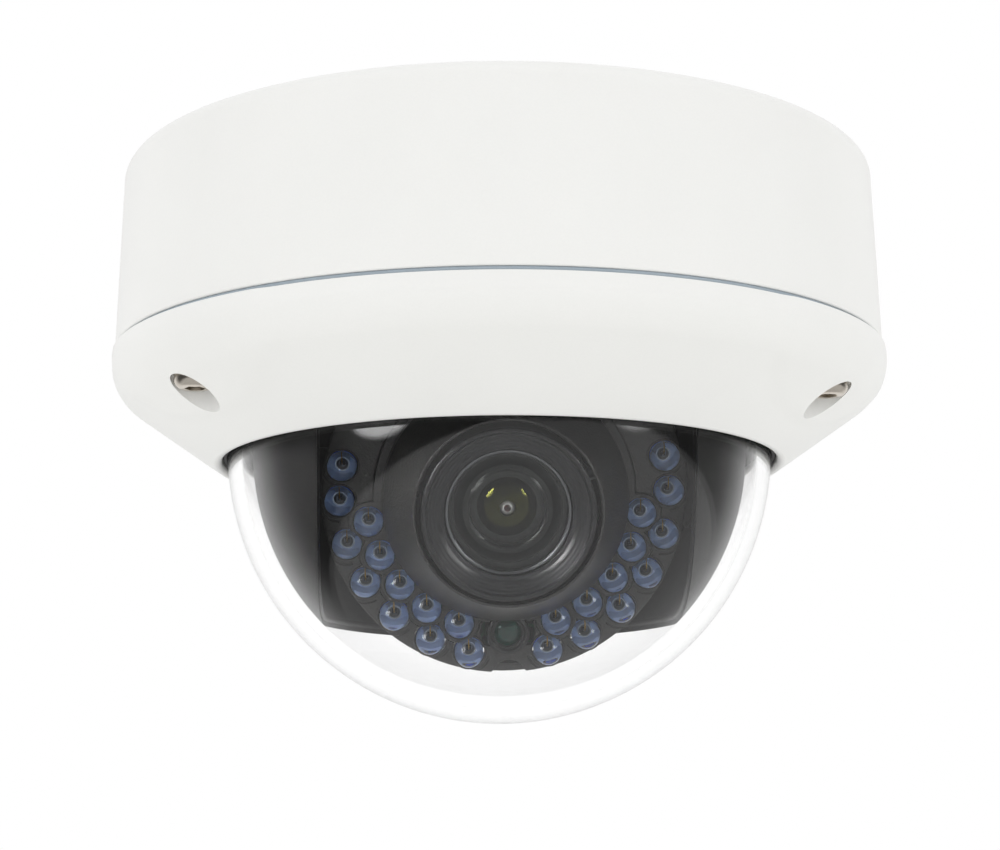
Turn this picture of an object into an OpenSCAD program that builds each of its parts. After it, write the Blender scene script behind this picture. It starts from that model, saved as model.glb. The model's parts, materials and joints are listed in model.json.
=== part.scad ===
// Dome security camera for ceilings, with three-axis lens adjustment.
// Millimetres. The origin is the centre of the ceiling face, +Z points up into the ceiling,
// and the camera hangs down. The front, where the lens looks, is -Y.

/* [Housing] */
// Radius of the base at the ceiling
base_top_r = 68.2; // [67:0.1:69]
// Radius of the base at the seam with the cover
base_seam_r = 69.3; // [68.5:0.1:69.6]
// Depth of the seam below the ceiling
seam_depth = 34.4; // [34:0.1:35]
// Rounding of the base's upper edge
base_edge_r = 3; // [1:0.5:4]
// Wall of the base
base_wall = 3; // [2.5:0.1:3.2]
// Radius of the circle of ceiling screws
ceiling_screw_circle_r = 52; // [51:0.5:53]
// Radius of each ceiling screw hole
ceiling_hole_r = 2.25; // [2:0.05:2.5]
// Radius of the cable hole through the grommet
cable_hole_r = 3.2; // [2:0.1:4]
// Radius of the conduit entry in the side
conduit_r = 10; // [8:0.5:10]

/* [Cover] */
// Largest radius of the cover, at its screw lobes
cover_r = 70; // [69.8:0.1:70.5]
// Radius of the cover's lower opening
opening_r = 49.9; // [49.8:0.1:50.2]
// Radius of the circle of cover screws
cover_screw_circle_r = 61.9; // [62:0.1:62.6]
// Turn of the three cover screws about the vertical, in degrees
cover_screw_turn = 2.5; // [0:0.5:4]
// Radius of a cover screw's counterbore
counterbore_r = 4.15; // [4.4:0.1:5]

/* [Bubble] */
// Outer radius of the clear bubble
bubble_r = 49; // [48.8:0.1:49]
// Wall of the clear bubble
bubble_t = 2.5; // [2:0.1:2.6]
// Depth of the bubble's lowest point below the ceiling
full_height = 99.9; // [99.5:0.1:100.2]

/* [Liner] */
// Outer radius of the black liner
liner_r = 44.5; // [44:0.1:44.7]
// Wall of the liner
liner_t = 1.6; // [1.2:0.1:1.6]
// Half the width of the slot in the liner
slot_half_w = 31.3; // [31.3:0.1:32]

/* [Camera head] */
// Depth of the tilt axis below the ceiling
pivot_depth = 54.8; // [54.6:0.1:55]
// How far the lens looks down at rest, in degrees
tilt_rest = 20; // [15:1:25]
// How far the head is turned about the lens axis at rest, in degrees
head_turn = 1.9; // [0:0.1:4]
// Radius of the light-emitting diode plate
plate_r = 31.1; // [31:0.1:31.2]
// Radius of one light-emitting diode
led_r = 2.5; // [2.3:0.1:2.5]
// Radius of the outer row of diodes
led_outer_r = 28.1; // [28:0.1:28.2]
// Radius of the inner row of diodes
led_inner_r = 23.64; // [23.6:0.02:23.7]
// Radius of the lens barrel's front
barrel_r = 14.4; // [14:0.1:14.5]

/* [Hidden] */
$fn = 64;

running = 0.05;                       // radial clearance of a turning or sliding fit
pivot_z = -pivot_depth;
seam_z = -seam_depth;
seal_half = 0.35;                     // half the height of the seal that shows in the seam
bubble_z = bubble_r - full_height;    // height of the bubble's centre
liner_z = bubble_z;
cover_screw_angles = [for (k = [0:2]) cover_screw_turn - 60 + 120 * k];
ceiling_angles = [45, 135, 225, 315];
conduit_angle = cover_screw_turn + 120;
conduit_z = -17;
grommet_y = 36;

board_z = -8;                         // upper face of the main board
board_t = 1.6;
board_r = 46;
board_flat_y = 24;
board_screw_places = [[-28, -24], [28, -24], [-26, 14], [26, 14]];
chassis_z = -14.5;                    // upper face of the chassis plate
chassis_t = 1.5;
chassis_post_r = 50;
chassis_angles = [0, 120, 240];
hub_r = 8;
turntable_z = -17;                    // upper face of the turntable
turntable_t = 2;
turntable_r = 36;
foot_t = 1.6;                         // thickness of the yoke's feet and the liner's tabs
arm_x = 34;                           // inner face of a yoke arm
arm_t = 2.5;
trunnion_r = 3;

carrier_r = 22;                       // turning fit of the head in its cradle
cradle_r = 29;
plate_front = 20.8;                   // distances along the lens axis, from the tilt axis
plate_back = 19;
led_board_front = 15.2;
led_board_back = 13.6;
led_dome = 21.3;                      // centre of a diode's round end
post_r = 19.5;
post_angles = [0, 120, 240];
faceplate_screw_angles = [120, 240];
sensor_at = 24.1;                     // radius at which the light sensor sits
outer_led_angles = [14.0, 28.4, 43.8, 59.3, 74.4, 89.9, 102.3];
inner_led_angles = [20.7, 35.8, 50.8, 65.8, 80.8];
slider_y = 4.9;
slider_z = -7.8;

// A place at radius r, at angle a from the front (or, on the head, from straight down)
function at(r, a, z = 0) = [r * sin(a), -r * cos(a), z];

// Points along an arc about c, from angle a1 to a2
function arc(c, r, a1, a2, n) = [for (k = [0:n]) let(a = a1 + (a2 - a1) * k / n) c + r * [cos(a), sin(a)]];

// Moves things into the lens's own frame: +Z along the lens axis, +Y upwards
module on_lens() translate([0, 0, pivot_z]) rotate([90 + tilt_rest, 0, 0]) children();
module on_head() on_lens() rotate([0, 0, head_turn]) children();

// A ring between two radii, from height z1 up to z2
module ring(r_in, r_out, z1, z2) {
    difference() {
        translate([0, 0, z1]) cylinder(r = r_out, h = z2 - z1);
        translate([0, 0, z1 - 1]) cylinder(r = r_in, h = z2 - z1 + 2);
    }
}

// A pan-head screw whose head sits below z = 0 and whose shank points up
module screw(head_r, head_h, shank_r, shank_h) {
    difference() {
        translate([0, 0, -head_h]) cylinder(r = head_r, h = head_h);
        for (turn = [0, 90]) rotate([0, 0, turn])
            translate([-head_r * 0.65, -head_r * 0.13, -head_h - 1]) cube([head_r * 1.3, head_r * 0.26, 1 + head_h * 0.5]);
    }
    cylinder(r = shank_r, h = shank_h);
}

// A screw with a six-sided socket and a pin in it, so that it needs a special key
module security_screw(head_r, head_h, shank_r, shank_h) {
    difference() {
        translate([0, 0, -head_h]) cylinder(r = head_r, h = head_h);
        translate([0, 0, -head_h - 1]) cylinder(r = head_r * 0.52, h = 1 + head_h * 0.6, $fn = 6);
    }
    translate([0, 0, -head_h * 0.8]) cylinder(r = head_r * 0.16, h = head_h * 0.5);
    cylinder(r = shank_r, h = shank_h);
}

// ---- Base -------------------------------------------------------------------------------------

module base_section() polygon(concat([[0, 0]],
    arc([base_top_r - base_edge_r, -base_edge_r], base_edge_r, 90, 0, 8),
    [[base_seam_r, seam_z + seal_half], [base_seam_r - base_wall, seam_z + seal_half],
     [base_top_r - base_wall, -base_wall], [0, -base_wall]]));

module base_housing() color("white") difference() {
    union() {
        rotate_extrude() base_section();
        for (a = cover_screw_angles) translate(at(cover_screw_circle_r, a, seam_z + seal_half))
            cylinder(r = 4.2, h = -seam_z - seal_half - base_wall / 2);
        for (a = chassis_angles) translate(at(chassis_post_r, a, chassis_z))
            cylinder(r = 3.5, h = -chassis_z - base_wall / 2);
        for (p = board_screw_places) translate([p[0], p[1], board_z])
            cylinder(r = 3, h = -board_z - base_wall / 2);
        translate([-20, 42, -6.5]) cylinder(r = 3.5, h = 5);
        rotate([0, 0, conduit_angle]) translate([0, -60.5, conduit_z]) rotate([90, 0, 0])
            cylinder(r = conduit_r + 3.4, h = 6);
    }
    for (a = cover_screw_angles) translate(at(cover_screw_circle_r, a, seam_z - 1))
        cylinder(r = 2 + running, h = 19);
    for (a = chassis_angles) translate(at(chassis_post_r, a, chassis_z - 1)) cylinder(r = 1.5, h = 9);
    for (p = board_screw_places) translate([p[0], p[1], board_z - 1]) cylinder(r = 1.25, h = 5);
    for (a = ceiling_angles) translate(at(ceiling_screw_circle_r, a, -base_wall - 1))
        cylinder(r = ceiling_hole_r, h = base_wall + 2);
    translate([-20, 42, -7]) cylinder(r = 1.25, h = 5);
    translate([0, grommet_y, -base_wall - 1]) cylinder(r = cable_hole_r + 3.4, h = base_wall + 2);
    rotate([0, 0, conduit_angle]) translate([0, 0, conduit_z]) rotate([90, 0, 0]) {
        translate([0, 0, 55]) cylinder(r = conduit_r, h = 20);
        translate([0, 0, 64.9]) cylinder(r = conduit_r + 2.6, h = 8);
    }
}

module housing_seal() color("slategray")
    ring(base_seam_r - base_wall + 0.3, base_seam_r - 0.35, seam_z - seal_half, seam_z + seal_half);

module cable_grommet() color("dimgray") translate([0, grommet_y, 0]) difference() {
    union() {
        translate([0, 0, -base_wall]) cylinder(r = cable_hole_r + 3.4, h = base_wall - 0.2);
        translate([0, 0, -base_wall - 1.6]) cylinder(r = cable_hole_r + 5.4, h = 1.6);
        translate([0, 0, -9]) cylinder(r1 = cable_hole_r + 1.4, r2 = cable_hole_r + 2.6, h = 9 - base_wall);
    }
    translate([0, 0, -10]) cylinder(r = cable_hole_r, h = 12);
}

module conduit_plug() color("white") rotate([0, 0, conduit_angle]) translate([0, 0, conduit_z]) rotate([90, 0, 0])
    difference() {
        union() {
            translate([0, 0, 59.5]) cylinder(r = conduit_r, h = 6.4);
            translate([0, 0, 65.9]) cylinder(r = conduit_r + 2, h = 1.5);
        }
        translate([0, 0, 58.5]) cylinder(r = conduit_r - 2.5, h = 5.4);
        translate([-6.5, -0.9, 66.5]) cube([13, 1.8, 2]);
    }

module conduit_plug_seal() color("dimgray") rotate([0, 0, conduit_angle]) translate([0, 0, conduit_z])
    rotate([90, 0, 0]) ring(conduit_r, conduit_r + 1.7, 64.9, 65.9);

module earth_screw() color("goldenrod") translate([-20, 42, -6.5]) screw(2.8, 1.8, 1.25, 3.5);

// ---- Electronics ------------------------------------------------------------------------------

module main_board() color("darkgreen") difference() {
    translate([0, 0, board_z - board_t]) cylinder(r = board_r, h = board_t);
    translate([-60, board_flat_y, board_z - 5]) cube([120, 60, 10]);
    for (p = board_screw_places) translate([p[0], p[1], board_z - 5]) cylinder(r = 1.25, h = 10);
}

module main_board_screws() color("silver") for (p = board_screw_places)
    translate([p[0], p[1], board_z - board_t]) screw(2.4, 1.6, 1.25, 5);

module processor() color("black") translate([-29, -8, board_z - board_t - 1.3]) cube([14, 14, 1.3]);

module heat_sink() color("silver") translate([-31, -10, -13.4]) difference() {
    cube([18, 18, 2.5]);
    for (k = [0:4]) translate([1.6 + 3.3 * k, -1, -1]) cube([1.7, 20, 2.4]);
}

// A plug-in wire connector: an open box with its pins
module connector(w) difference() {
    cube([w, 5, 4]);
    translate([0.7, 0.7, -1]) cube([w - 1.4, 3.6, 4]);
}

module wire_connectors() color("ivory") for (c = [[-8, 17, 16], [14, 2, 8], [10, -20, 10]])
    translate([c[0], c[1], board_z - board_t - 4]) connector(c[2]);

module memory_card_slot() color("silver") translate([-41.2, -14, board_z - board_t - 1.8]) difference() {
    cube([9.5, 15, 1.8]);
    translate([-1, 1, 0.5]) cube([9, 13, 0.9]);
}

module reset_switch() color("black") translate([20.5, -36, board_z - board_t - 2]) difference() {
    translate([-3, -3, 0]) cube([6, 6, 2]);
    translate([0, 0, -1]) cylinder(r = 1.55, h = 2.6);
}

module reset_button() color("ivory") translate([20.5, -36, board_z - board_t - 3.4]) cylinder(r = 1.4, h = 2.4);

// ---- Chassis ----------------------------------------------------------------------------------

module chassis_plate() color("lightsteelblue") translate([0, 0, chassis_z - chassis_t]) difference() {
    union() {
        cylinder(r = 34, h = chassis_t);
        for (a = chassis_angles) rotate([0, 0, a]) translate([-4.5, -chassis_post_r, 0])
            cube([9, chassis_post_r - 20, chassis_t]);
        for (a = chassis_angles) translate(at(chassis_post_r, a)) cylinder(r = 4.5, h = chassis_t);
    }
    translate([0, 0, -1]) cylinder(r = hub_r + running, h = 5);
    for (a = chassis_angles) translate(at(chassis_post_r, a, -1)) cylinder(r = 1.5, h = 5);
    for (a = [60, 180, 300]) translate(at(24, a, -1)) cylinder(r = 3, h = 5);
}

module chassis_screws() color("silver") for (a = chassis_angles)
    translate(at(chassis_post_r, a, chassis_z - chassis_t)) screw(2.8, 1.8, 1.5, 9);

module friction_ring() color("dimgray") ring(27.5, 33, turntable_z + 0.1, chassis_z - chassis_t);

// ---- Cover ------------------------------------------------------------------------------------

lobe_round_r = 9.6;
lobe_round_at = [cover_r - lobe_round_r, -36.4];
rim_round_r = 1;
rim_z = -53;
cover_top_z = seam_z - seal_half;
ledge_z = -46.8;
ledge_r = 56.5;
cover_inner_r = 66.8;
crease_z = -37.55;
under_round_r = 8;
under_round_at = [61.75, -36.85];
retainer_z = -43.6;
counterbore_z = -43.5;

// Outline of the hollow side of the cover, from the seam to the ledge that the bubble sits on
cover_inner = [[cover_inner_r, cover_top_z], [cover_inner_r, crease_z + 0.3], [ledge_r, ledge_z]];

// The rounded lip round the lower opening
lip = arc([opening_r + rim_round_r, rim_z], rim_round_r, 180, 305, 4);

// Between the lobes: a crease, a rounded edge under it, then a straight slope down to the lip
module cover_scoop_section() polygon(concat(
    [[base_seam_r + 0.1, cover_top_z]], [cover_inner[0], cover_inner[1], cover_inner[2]],
    [[opening_r, ledge_z]], lip, arc(under_round_at, under_round_r, -55, -5, 6)));

// Outside of a screw lobe, which stands proud of the rest: a well-rounded edge, then a straight slope
lobe_outside = concat(
    arc(lobe_round_at, lobe_round_r, asin((cover_top_z - lobe_round_at[1]) / lobe_round_r), -55.8, 9),
    [[opening_r + 1.8, -53.85], [ledge_r - 2.5, ledge_z - 2]]);

module cover_lobe_section() polygon(concat(lobe_outside,
    [[ledge_r + 0.5, ledge_z - 0.4], [cover_inner_r + 0.6, crease_z], [cover_inner_r + 0.6, cover_top_z]]));

// The same, filled inwards, which trims the columns round the cover screws
module cover_column_section() polygon(concat(lobe_outside, [[ledge_r - 2.5, cover_top_z]]));

module cover_ring() color("white") difference() {
    union() {
        rotate_extrude() cover_scoop_section();
        intersection() {
            rotate_extrude() cover_lobe_section();
            union() for (a = cover_screw_angles) translate(at(90, a, -60)) cylinder(r = 34, h = 30);
        }
        intersection() {
            rotate_extrude() cover_column_section();
            union() for (a = cover_screw_angles) translate(at(cover_screw_circle_r, a, ledge_z - 3))
                cylinder(r = 6.2, h = cover_top_z - ledge_z + 10);
        }
        for (k = [0:5]) translate(at(57.8, cover_screw_turn + 60 * k + 30, -46.4)) cylinder(r = 2.2, h = 46.4 + retainer_z);
    }
    for (a = cover_screw_angles) {
        translate(at(cover_screw_circle_r, a, -60)) cylinder(r = counterbore_r, h = 60 + counterbore_z);
        translate(at(cover_screw_circle_r, a, -60)) cylinder(r = 2.2, h = 40);
    }
    for (k = [0:5]) translate(at(57.8, cover_screw_turn + 60 * k + 30, -46)) cylinder(r = 1.2, h = 6);
}

module bubble_gasket() color("black") {
    ring(bubble_r, ledge_r - 0.5, ledge_z, ledge_z + 0.8);
    ring(bubble_r, opening_r - 0.02, rim_z + 0.1, ledge_z);
}

module dome_bubble() color([0.9, 0.95, 1, 0.35]) {
    flange_z = ledge_z + 0.8;
    difference() {
        union() {
            intersection() {
                translate([0, 0, bubble_z]) sphere(r = bubble_r);
                translate([0, 0, -120]) cylinder(r = 60, h = 120 + bubble_z);
            }
            translate([0, 0, bubble_z]) cylinder(r = bubble_r, h = retainer_z - bubble_z);
            translate([0, 0, flange_z]) cylinder(r = 55.4, h = retainer_z - flange_z);
        }
        translate([0, 0, bubble_z]) sphere(r = bubble_r - bubble_t);
        translate([0, 0, bubble_z]) cylinder(r = bubble_r - bubble_t, h = 20);
    }
}

module bubble_retainer() color("silver") difference() {
    ring(47, 59.5, retainer_z, retainer_z + 1.6);
    for (a = cover_screw_angles) translate(at(cover_screw_circle_r, a, -60)) cylinder(r = 6.5, h = 40);
    for (k = [0:5]) translate(at(57.8, cover_screw_turn + 60 * k + 30, -46)) cylinder(r = 1.2, h = 6);
}

module retainer_screws() color("silver") for (k = [0:5])
    translate(at(57.8, cover_screw_turn + 60 * k + 30, retainer_z + 1.6)) rotate([180, 0, 0])
        screw(2.1, 1.4, 1.2, 3.8);

module cover_screws() color("silver") for (a = cover_screw_angles)
    translate(at(cover_screw_circle_r, a, counterbore_z)) security_screw(3.5, 2.6, 2, 20);

// ---- Pan ---------------------------------------------------------------------------------------

yoke_screw_places = [[27.5, -6], [27.5, 6]];
liner_tab_y = 18;

module pan_turntable() color("dimgray") difference() {
    union() {
        translate([0, 0, turntable_z - turntable_t]) cylinder(r = turntable_r, h = turntable_t);
        translate([0, 0, turntable_z]) cylinder(r = hub_r, h = chassis_z + 1 - turntable_z);
    }
    translate([0, 0, -30]) cylinder(r = 5, h = 30);
    for (side = [-1, 1], p = yoke_screw_places) translate([side * p[0], p[1], -30]) cylinder(r = 1, h = 20);
    for (sx = [-1, 1], sy = [-1, 1]) translate([sx * 28, sy * liner_tab_y, -30]) cylinder(r = 1, h = 20);
}

module pan_retainer() color("silver") difference() {
    ring(hub_r - 0.8, 11, chassis_z + 0.1, chassis_z + 0.9);
    translate([-2, 4, chassis_z - 1]) cube([4, 10, 3]);
    translate([0, 0, chassis_z - 1]) cylinder(r = hub_r, h = 4);
}

// One yoke arm with its foot, on the +X side
module yoke_arm() difference() {
    foot_z = turntable_z - turntable_t - foot_t;
    union() {
        translate([24, -10, foot_z]) cube([arm_x + arm_t - 24, 20, foot_t]);
        translate([arm_x, -10, pivot_z]) cube([arm_t, 20, foot_z + 0.1 - pivot_z]);
        translate([arm_x, 0, pivot_z]) rotate([0, 90, 0]) cylinder(r = 10, h = arm_t);
    }
    translate([arm_x - 1, 0, pivot_z]) rotate([0, 90, 0]) cylinder(r = trunnion_r + running, h = arm_t + 2);
    for (p = yoke_screw_places) translate([p[0], p[1], -30]) cylinder(r = 1, h = 20);
    translate([arm_x - 1, -5, -42]) cube([arm_t + 2, 10, 14]);
}

module yoke_left() color("dimgray") mirror([1, 0, 0]) yoke_arm();
module yoke_right() color("dimgray") yoke_arm();

module yoke_screws() color("silver") for (side = [-1, 1], p = yoke_screw_places)
    translate([side * p[0], p[1], turntable_z - turntable_t - foot_t]) screw(2, 1.3, 1, 3.4);

module inner_liner() color("black") {
    tab_z = turntable_z - turntable_t - foot_t;
    difference() {
        union() {
            intersection() {
                translate([0, 0, liner_z]) sphere(r = liner_r);
                translate([0, 0, -120]) cylinder(r = 60, h = 120 + liner_z);
            }
            translate([0, 0, liner_z]) cylinder(r = liner_r, h = tab_z + foot_t - liner_z);
        }
        translate([0, 0, liner_z]) sphere(r = liner_r - liner_t);
        translate([0, 0, liner_z]) cylinder(r = liner_r - liner_t, h = 60);
        translate([0, 0, -120]) cylinder(r = slot_half_w, h = 93);
        translate([-slot_half_w, -60, -120]) cube([2 * slot_half_w, 60, 93]);
    }
    for (sx = [-1, 1], sy = [-1, 1]) difference() {
        translate([sx < 0 ? -39.6 : 25, sy * liner_tab_y - 3.5, tab_z]) cube([14.6, 7, foot_t]);
        translate([sx * 28, sy * liner_tab_y, tab_z - 1]) cylinder(r = 1, h = 5);
    }
}

module liner_screws() color("silver") for (sx = [-1, 1], sy = [-1, 1])
    translate([sx * 28, sy * liner_tab_y, turntable_z - turntable_t - foot_t]) screw(2, 1.3, 1, 3.4);

// ---- Tilt --------------------------------------------------------------------------------------

module tilt_cradle() color("dimgray") on_lens() difference() {
    union() {
        translate([0, 0, -4]) cylinder(r = cradle_r, h = 7.7);
        for (side = [0, 180]) rotate([0, 0, side]) rotate([0, 90, 0]) {
            translate([0, 0, cradle_r - 3]) cylinder(r = 4.6, h = arm_x - 0.3 - cradle_r + 3);
            cylinder(r = trunnion_r, h = arm_x + arm_t + 0.4);
        }
    }
    translate([0, 0, -10]) cylinder(r = carrier_r + running, h = 20);
    translate([0, 20, 0]) rotate([-90, 0, 0]) cylinder(r = 1.25, h = 20);
}

module tilt_lock_screws() color("silver") on_lens() for (side = [0, 180]) rotate([0, 0, side])
    translate([arm_x + arm_t + 0.4, 0, 0]) rotate([0, -90, 0]) screw(4.2, 2, 0.5, 0.01);

module head_lock_screw() color("silver") on_lens() translate([0, cradle_r, 0]) rotate([90, 0, 0])
    screw(2.4, 1.6, 1.25, 6.2);

// ---- Head --------------------------------------------------------------------------------------

module head_carrier() color("dimgray") on_head() difference() {
    union() {
        translate([0, 0, -4]) cylinder(r = carrier_r, h = 8);
        translate([0, 0, 4]) cylinder(r = carrier_r + 2.5, h = 2);
        for (a = post_angles) translate(at(post_r, a, 5)) cylinder(r = 2.2, h = led_board_back - 5);
    }
    translate([0, 0, -10]) cylinder(r = 12.5, h = 30);
    for (a = faceplate_screw_angles) translate(at(post_r, a, -10)) cylinder(r = 1, h = 30);
}

module head_retainer() color("silver") on_head() union() {
    ring(20.8, carrier_r, -5.6, -4);
    ring(carrier_r - 0.5, carrier_r + 2.5, -5.6, -4.3);
}

module led_faceplate() color("dimgray") on_head() difference() {
    union() {
        ring(17, plate_r, plate_back, plate_front);
        ring(plate_r - 1.3, plate_r, led_board_back, plate_back + 0.5);
        for (a = faceplate_screw_angles) translate(at(post_r, a, led_board_front))
            cylinder(r = 2.2, h = plate_back + 0.5 - led_board_front);
    }
    for (side = [-1, 1]) {
        for (a = outer_led_angles) translate(at(led_outer_r, side * a, 10)) cylinder(r = led_r + 0.2, h = 20);
        for (a = inner_led_angles) translate(at(led_inner_r, side * a, 10)) cylinder(r = led_r + 0.2, h = 20);
    }
    translate(at(sensor_at, 0, 10)) cylinder(r = 3.7, h = 20);
    translate(at(plate_r + 0.9, 0, 10)) cylinder(r = 3.05, h = 20);
    for (a = faceplate_screw_angles) translate(at(post_r, a, 10)) cylinder(r = 1, h = 8);
}

module lens_shroud() color("dimgray") on_head() difference() {
    rotate_extrude() polygon([[19.6, plate_front], [20.9, plate_front], [20.9, 25], [15.6, 36.2], [15.2, 36.2],
        [15.2, 35.2], [19.6, 24.4]]);
    translate(at(sensor_at, 0, 10)) cylinder(r = 3.8, h = 12.2);
}

module led_board() color("darkgreen") on_head() difference() {
    ring(17.4, plate_r - 2.6, led_board_back, led_board_front);
    for (a = faceplate_screw_angles) translate(at(post_r, a, 10)) cylinder(r = 1, h = 20);
    translate(at(plate_r + 0.9, 0, 10)) cylinder(r = 4, h = 20);
}

// One diode: a flange, a round body and a half-round end
module led() {
    translate([0, 0, led_board_front]) cylinder(r = led_r + 0.1, h = 1, $fn = 32);
    translate([0, 0, led_board_front]) cylinder(r = led_r, h = led_dome - led_board_front, $fn = 32);
    translate([0, 0, led_dome]) sphere(r = led_r, $fn = 32);
}

module led_lamps() color("royalblue") on_head() for (side = [-1, 1]) {
    for (a = outer_led_angles) translate(at(led_outer_r, side * a)) led();
    for (a = inner_led_angles) translate(at(led_inner_r, side * a)) led();
}

module faceplate_screws() color("silver") on_head() for (a = faceplate_screw_angles)
    translate(at(post_r, a, -4)) screw(1.2, 1.4, 1, 20);

module light_sensor_collar() color("black") on_head() translate(at(sensor_at, 0))
    ring(2.4, 3.7, led_board_front, 22);

module light_sensor_lens() color("darkgreen") on_head() translate(at(sensor_at, 0)) intersection() {
    translate([0, 0, led_board_front]) cylinder(r = 2.4, h = 10);
    translate([0, 0, 17.6]) sphere(r = 4);
}

module lens_mount() color("black") on_head() difference() {
    union() {
        translate([-17, -11, -10]) cube([34, 22, 6]);
        translate([0, 0, -4]) cylinder(r = 12.5, h = 9);
    }
    translate([-6.5, -5.5, -11]) cube([13, 11, 3]);
    translate([-14, -slider_y - 0.3, slider_z - 0.3]) cube([28, 2 * slider_y + 0.6, 2]);
    translate([0, 0, -8]) cylinder(r = 4.2, h = 10);
    translate([0, 0, -1]) cylinder(r = 7, h = 10);
    for (sx = [-1, 1], sy = [-1, 1]) translate([sx * 14.5, sy * 8.2, -11]) cylinder(r = 1, h = 4.2);
    for (a = faceplate_screw_angles) translate(at(post_r, a, -11)) cylinder(r = 1.6, h = 8);
}

module sensor_board() color("darkgreen") on_head() difference() {
    translate([-17, -12.5, -11.6]) cube([34, 25, 1.6]);
    for (sx = [-1, 1], sy = [-1, 1]) translate([sx * 14.5, sy * 8.2, -13]) cylinder(r = 1, h = 4.2);
}

module sensor_screws() color("silver") on_head() for (sx = [-1, 1], sy = [-1, 1])
    translate([sx * 14.5, sy * 8.2, -11.6]) screw(1.8, 1.2, 1, 4.2);

module image_sensor() color("darkslategray") on_head() translate([-4.5, -3.5, -10]) cube([9, 7, 1.4]);

module filter_coil() color("sienna") on_head() translate([-6, 11, -9.5]) difference() {
    cube([12, 4.6, 5]);
    translate([4, -1, 1.5]) cube([4, 4.4, 2]);
}

module lens_tube() color("black") on_head() difference() {
    union() {
        translate([0, 0, -1]) cylinder(r = 7, h = 8);
        translate([0, 0, 5]) cylinder(r = 11, h = 22.5);
    }
    translate([0, 0, -2]) cylinder(r = 5, h = 10);
    translate([0, 0, 7]) cylinder(r = 8.5, h = 30);
}

// ---- Filter changer ----------------------------------------------------------------------------

module filter_slider() color("black") on_head() difference() {
    translate([-13, -slider_y, slider_z]) cube([18, 2 * slider_y, 1.4]);
    for (x = [-8.5, 0]) translate([x - 3.5, -3.5, slider_z - 1]) cube([7, 7, 4]);
}

module filter_glass() color("crimson") on_head() for (x = [-8.5, 0])
    translate([x - 3.5, -3.5, slider_z + 0.3]) cube([7, 7, 0.8]);

// ---- Lens rings --------------------------------------------------------------------------------

// A grip ring with grooves round its outside
module grip_ring(z1, z2) difference() {
    ring(11 + running, 15, z1, z2);
    for (k = [0:17]) rotate([0, 0, 20 * k]) translate([15.2, 0, z1 - 1]) cylinder(r = 0.7, h = z2 - z1 + 2, $fn = 16);
    translate([0, 0, (z1 + z2) / 2]) rotate([0, 90, 10]) cylinder(r = 1, h = 20);
}

module ring_lock_screw(z) translate([0, 0, z]) rotate([0, 0, 10]) translate([15, 0, 0]) rotate([0, -90, 0])
    screw(1.5, 1.4, 1, 3.5);

module zoom_ring() color("black") on_head() grip_ring(7.2, 11.6);
module zoom_lock_screw() color("silver") on_head() ring_lock_screw(9.4);
module focus_ring() color("black") on_head() grip_ring(13, 17.4);
module focus_lock_screw() color("silver") on_head() ring_lock_screw(15.2);

module rear_lens_cell() color("black") on_head() difference() {
    translate([0, 0, 12]) cylinder(r = 8.5 - running, h = 6);
    translate([0, 0, 11]) cylinder(r = 4, h = 10);
}

// ---- Front barrel ------------------------------------------------------------------------------

floor_z = 30;      // floor that the front lens group sits on
seat_z = 34.6;     // seat of the bright trim ring
glass_r = 10;

module front_barrel() color("black") on_head() rotate_extrude() polygon([
    [11 + running, 18.8], [12.8, 18.8], [12.8, 28], [barrel_r, 29], [barrel_r, 37.1], [barrel_r - 0.4, 37.5],
    [13.5, 37.5], [13.2, 36.9], [11.5, 36.5], [11.2, 36], [10.6, 35.9], [10.6, seat_z], [glass_r, seat_z],
    [glass_r, floor_z], [5, floor_z], [5, 28.6], [11 + running, 28.6]]);

module lens_trim_ring() color("silver") on_head() ring(9.5, 10.6, seat_z, seat_z + 0.7);

module front_lens() color([0.5, 0.6, 0.7, 0.4]) on_head() difference() {
    intersection() {
        translate([0, 0, 13.5]) sphere(r = 23.1);
        union() {
            translate([0, 0, 31.5]) cylinder(r = glass_r, h = seat_z - 31.5);
            translate([0, 0, seat_z - 0.5]) cylinder(r = 9.5, h = 4);
        }
    }
    translate([0, 0, 20.2]) sphere(r = 14);
}

module inner_lens_cell() color("black") on_head() union() {
    rotate_extrude() polygon([[6.2, floor_z], [glass_r, floor_z], [glass_r, 31.3], [8.3, 31.3], [7.2, 32], [6.2, 32]]);
    intersection() {
        translate([0, 0, floor_z]) cylinder(r = 6.2, h = 3);
        translate([0, 0, 31.8 - 24.4]) sphere(r = 24.4);
    }
}

module iris_plate() color("black") on_head() difference() {
    translate([0, 0, 28.8]) cylinder(r = 5, h = 0.9);
    translate([0, 0, 28]) cylinder(r = 1.3, h = 3);
}

base_housing();
housing_seal();
cable_grommet();
conduit_plug();
conduit_plug_seal();
earth_screw();
main_board();
main_board_screws();
processor();
heat_sink();
wire_connectors();
memory_card_slot();
reset_switch();
reset_button();
chassis_plate();
chassis_screws();
friction_ring();
cover_ring();
bubble_gasket();
dome_bubble();
bubble_retainer();
retainer_screws();
cover_screws();
pan_turntable();
pan_retainer();
yoke_left();
yoke_right();
yoke_screws();
inner_liner();
liner_screws();
tilt_cradle();
tilt_lock_screws();
head_lock_screw();
head_carrier();
head_retainer();
led_faceplate();
lens_shroud();
led_board();
led_lamps();
faceplate_screws();
light_sensor_collar();
light_sensor_lens();
lens_mount();
sensor_board();
sensor_screws();
image_sensor();
filter_coil();
lens_tube();
filter_slider();
filter_glass();
zoom_ring();
zoom_lock_screw();
rear_lens_cell();
focus_ring();
focus_lock_screw();
front_barrel();
lens_trim_ring();
front_lens();
inner_lens_cell();
iris_plate();
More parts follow.
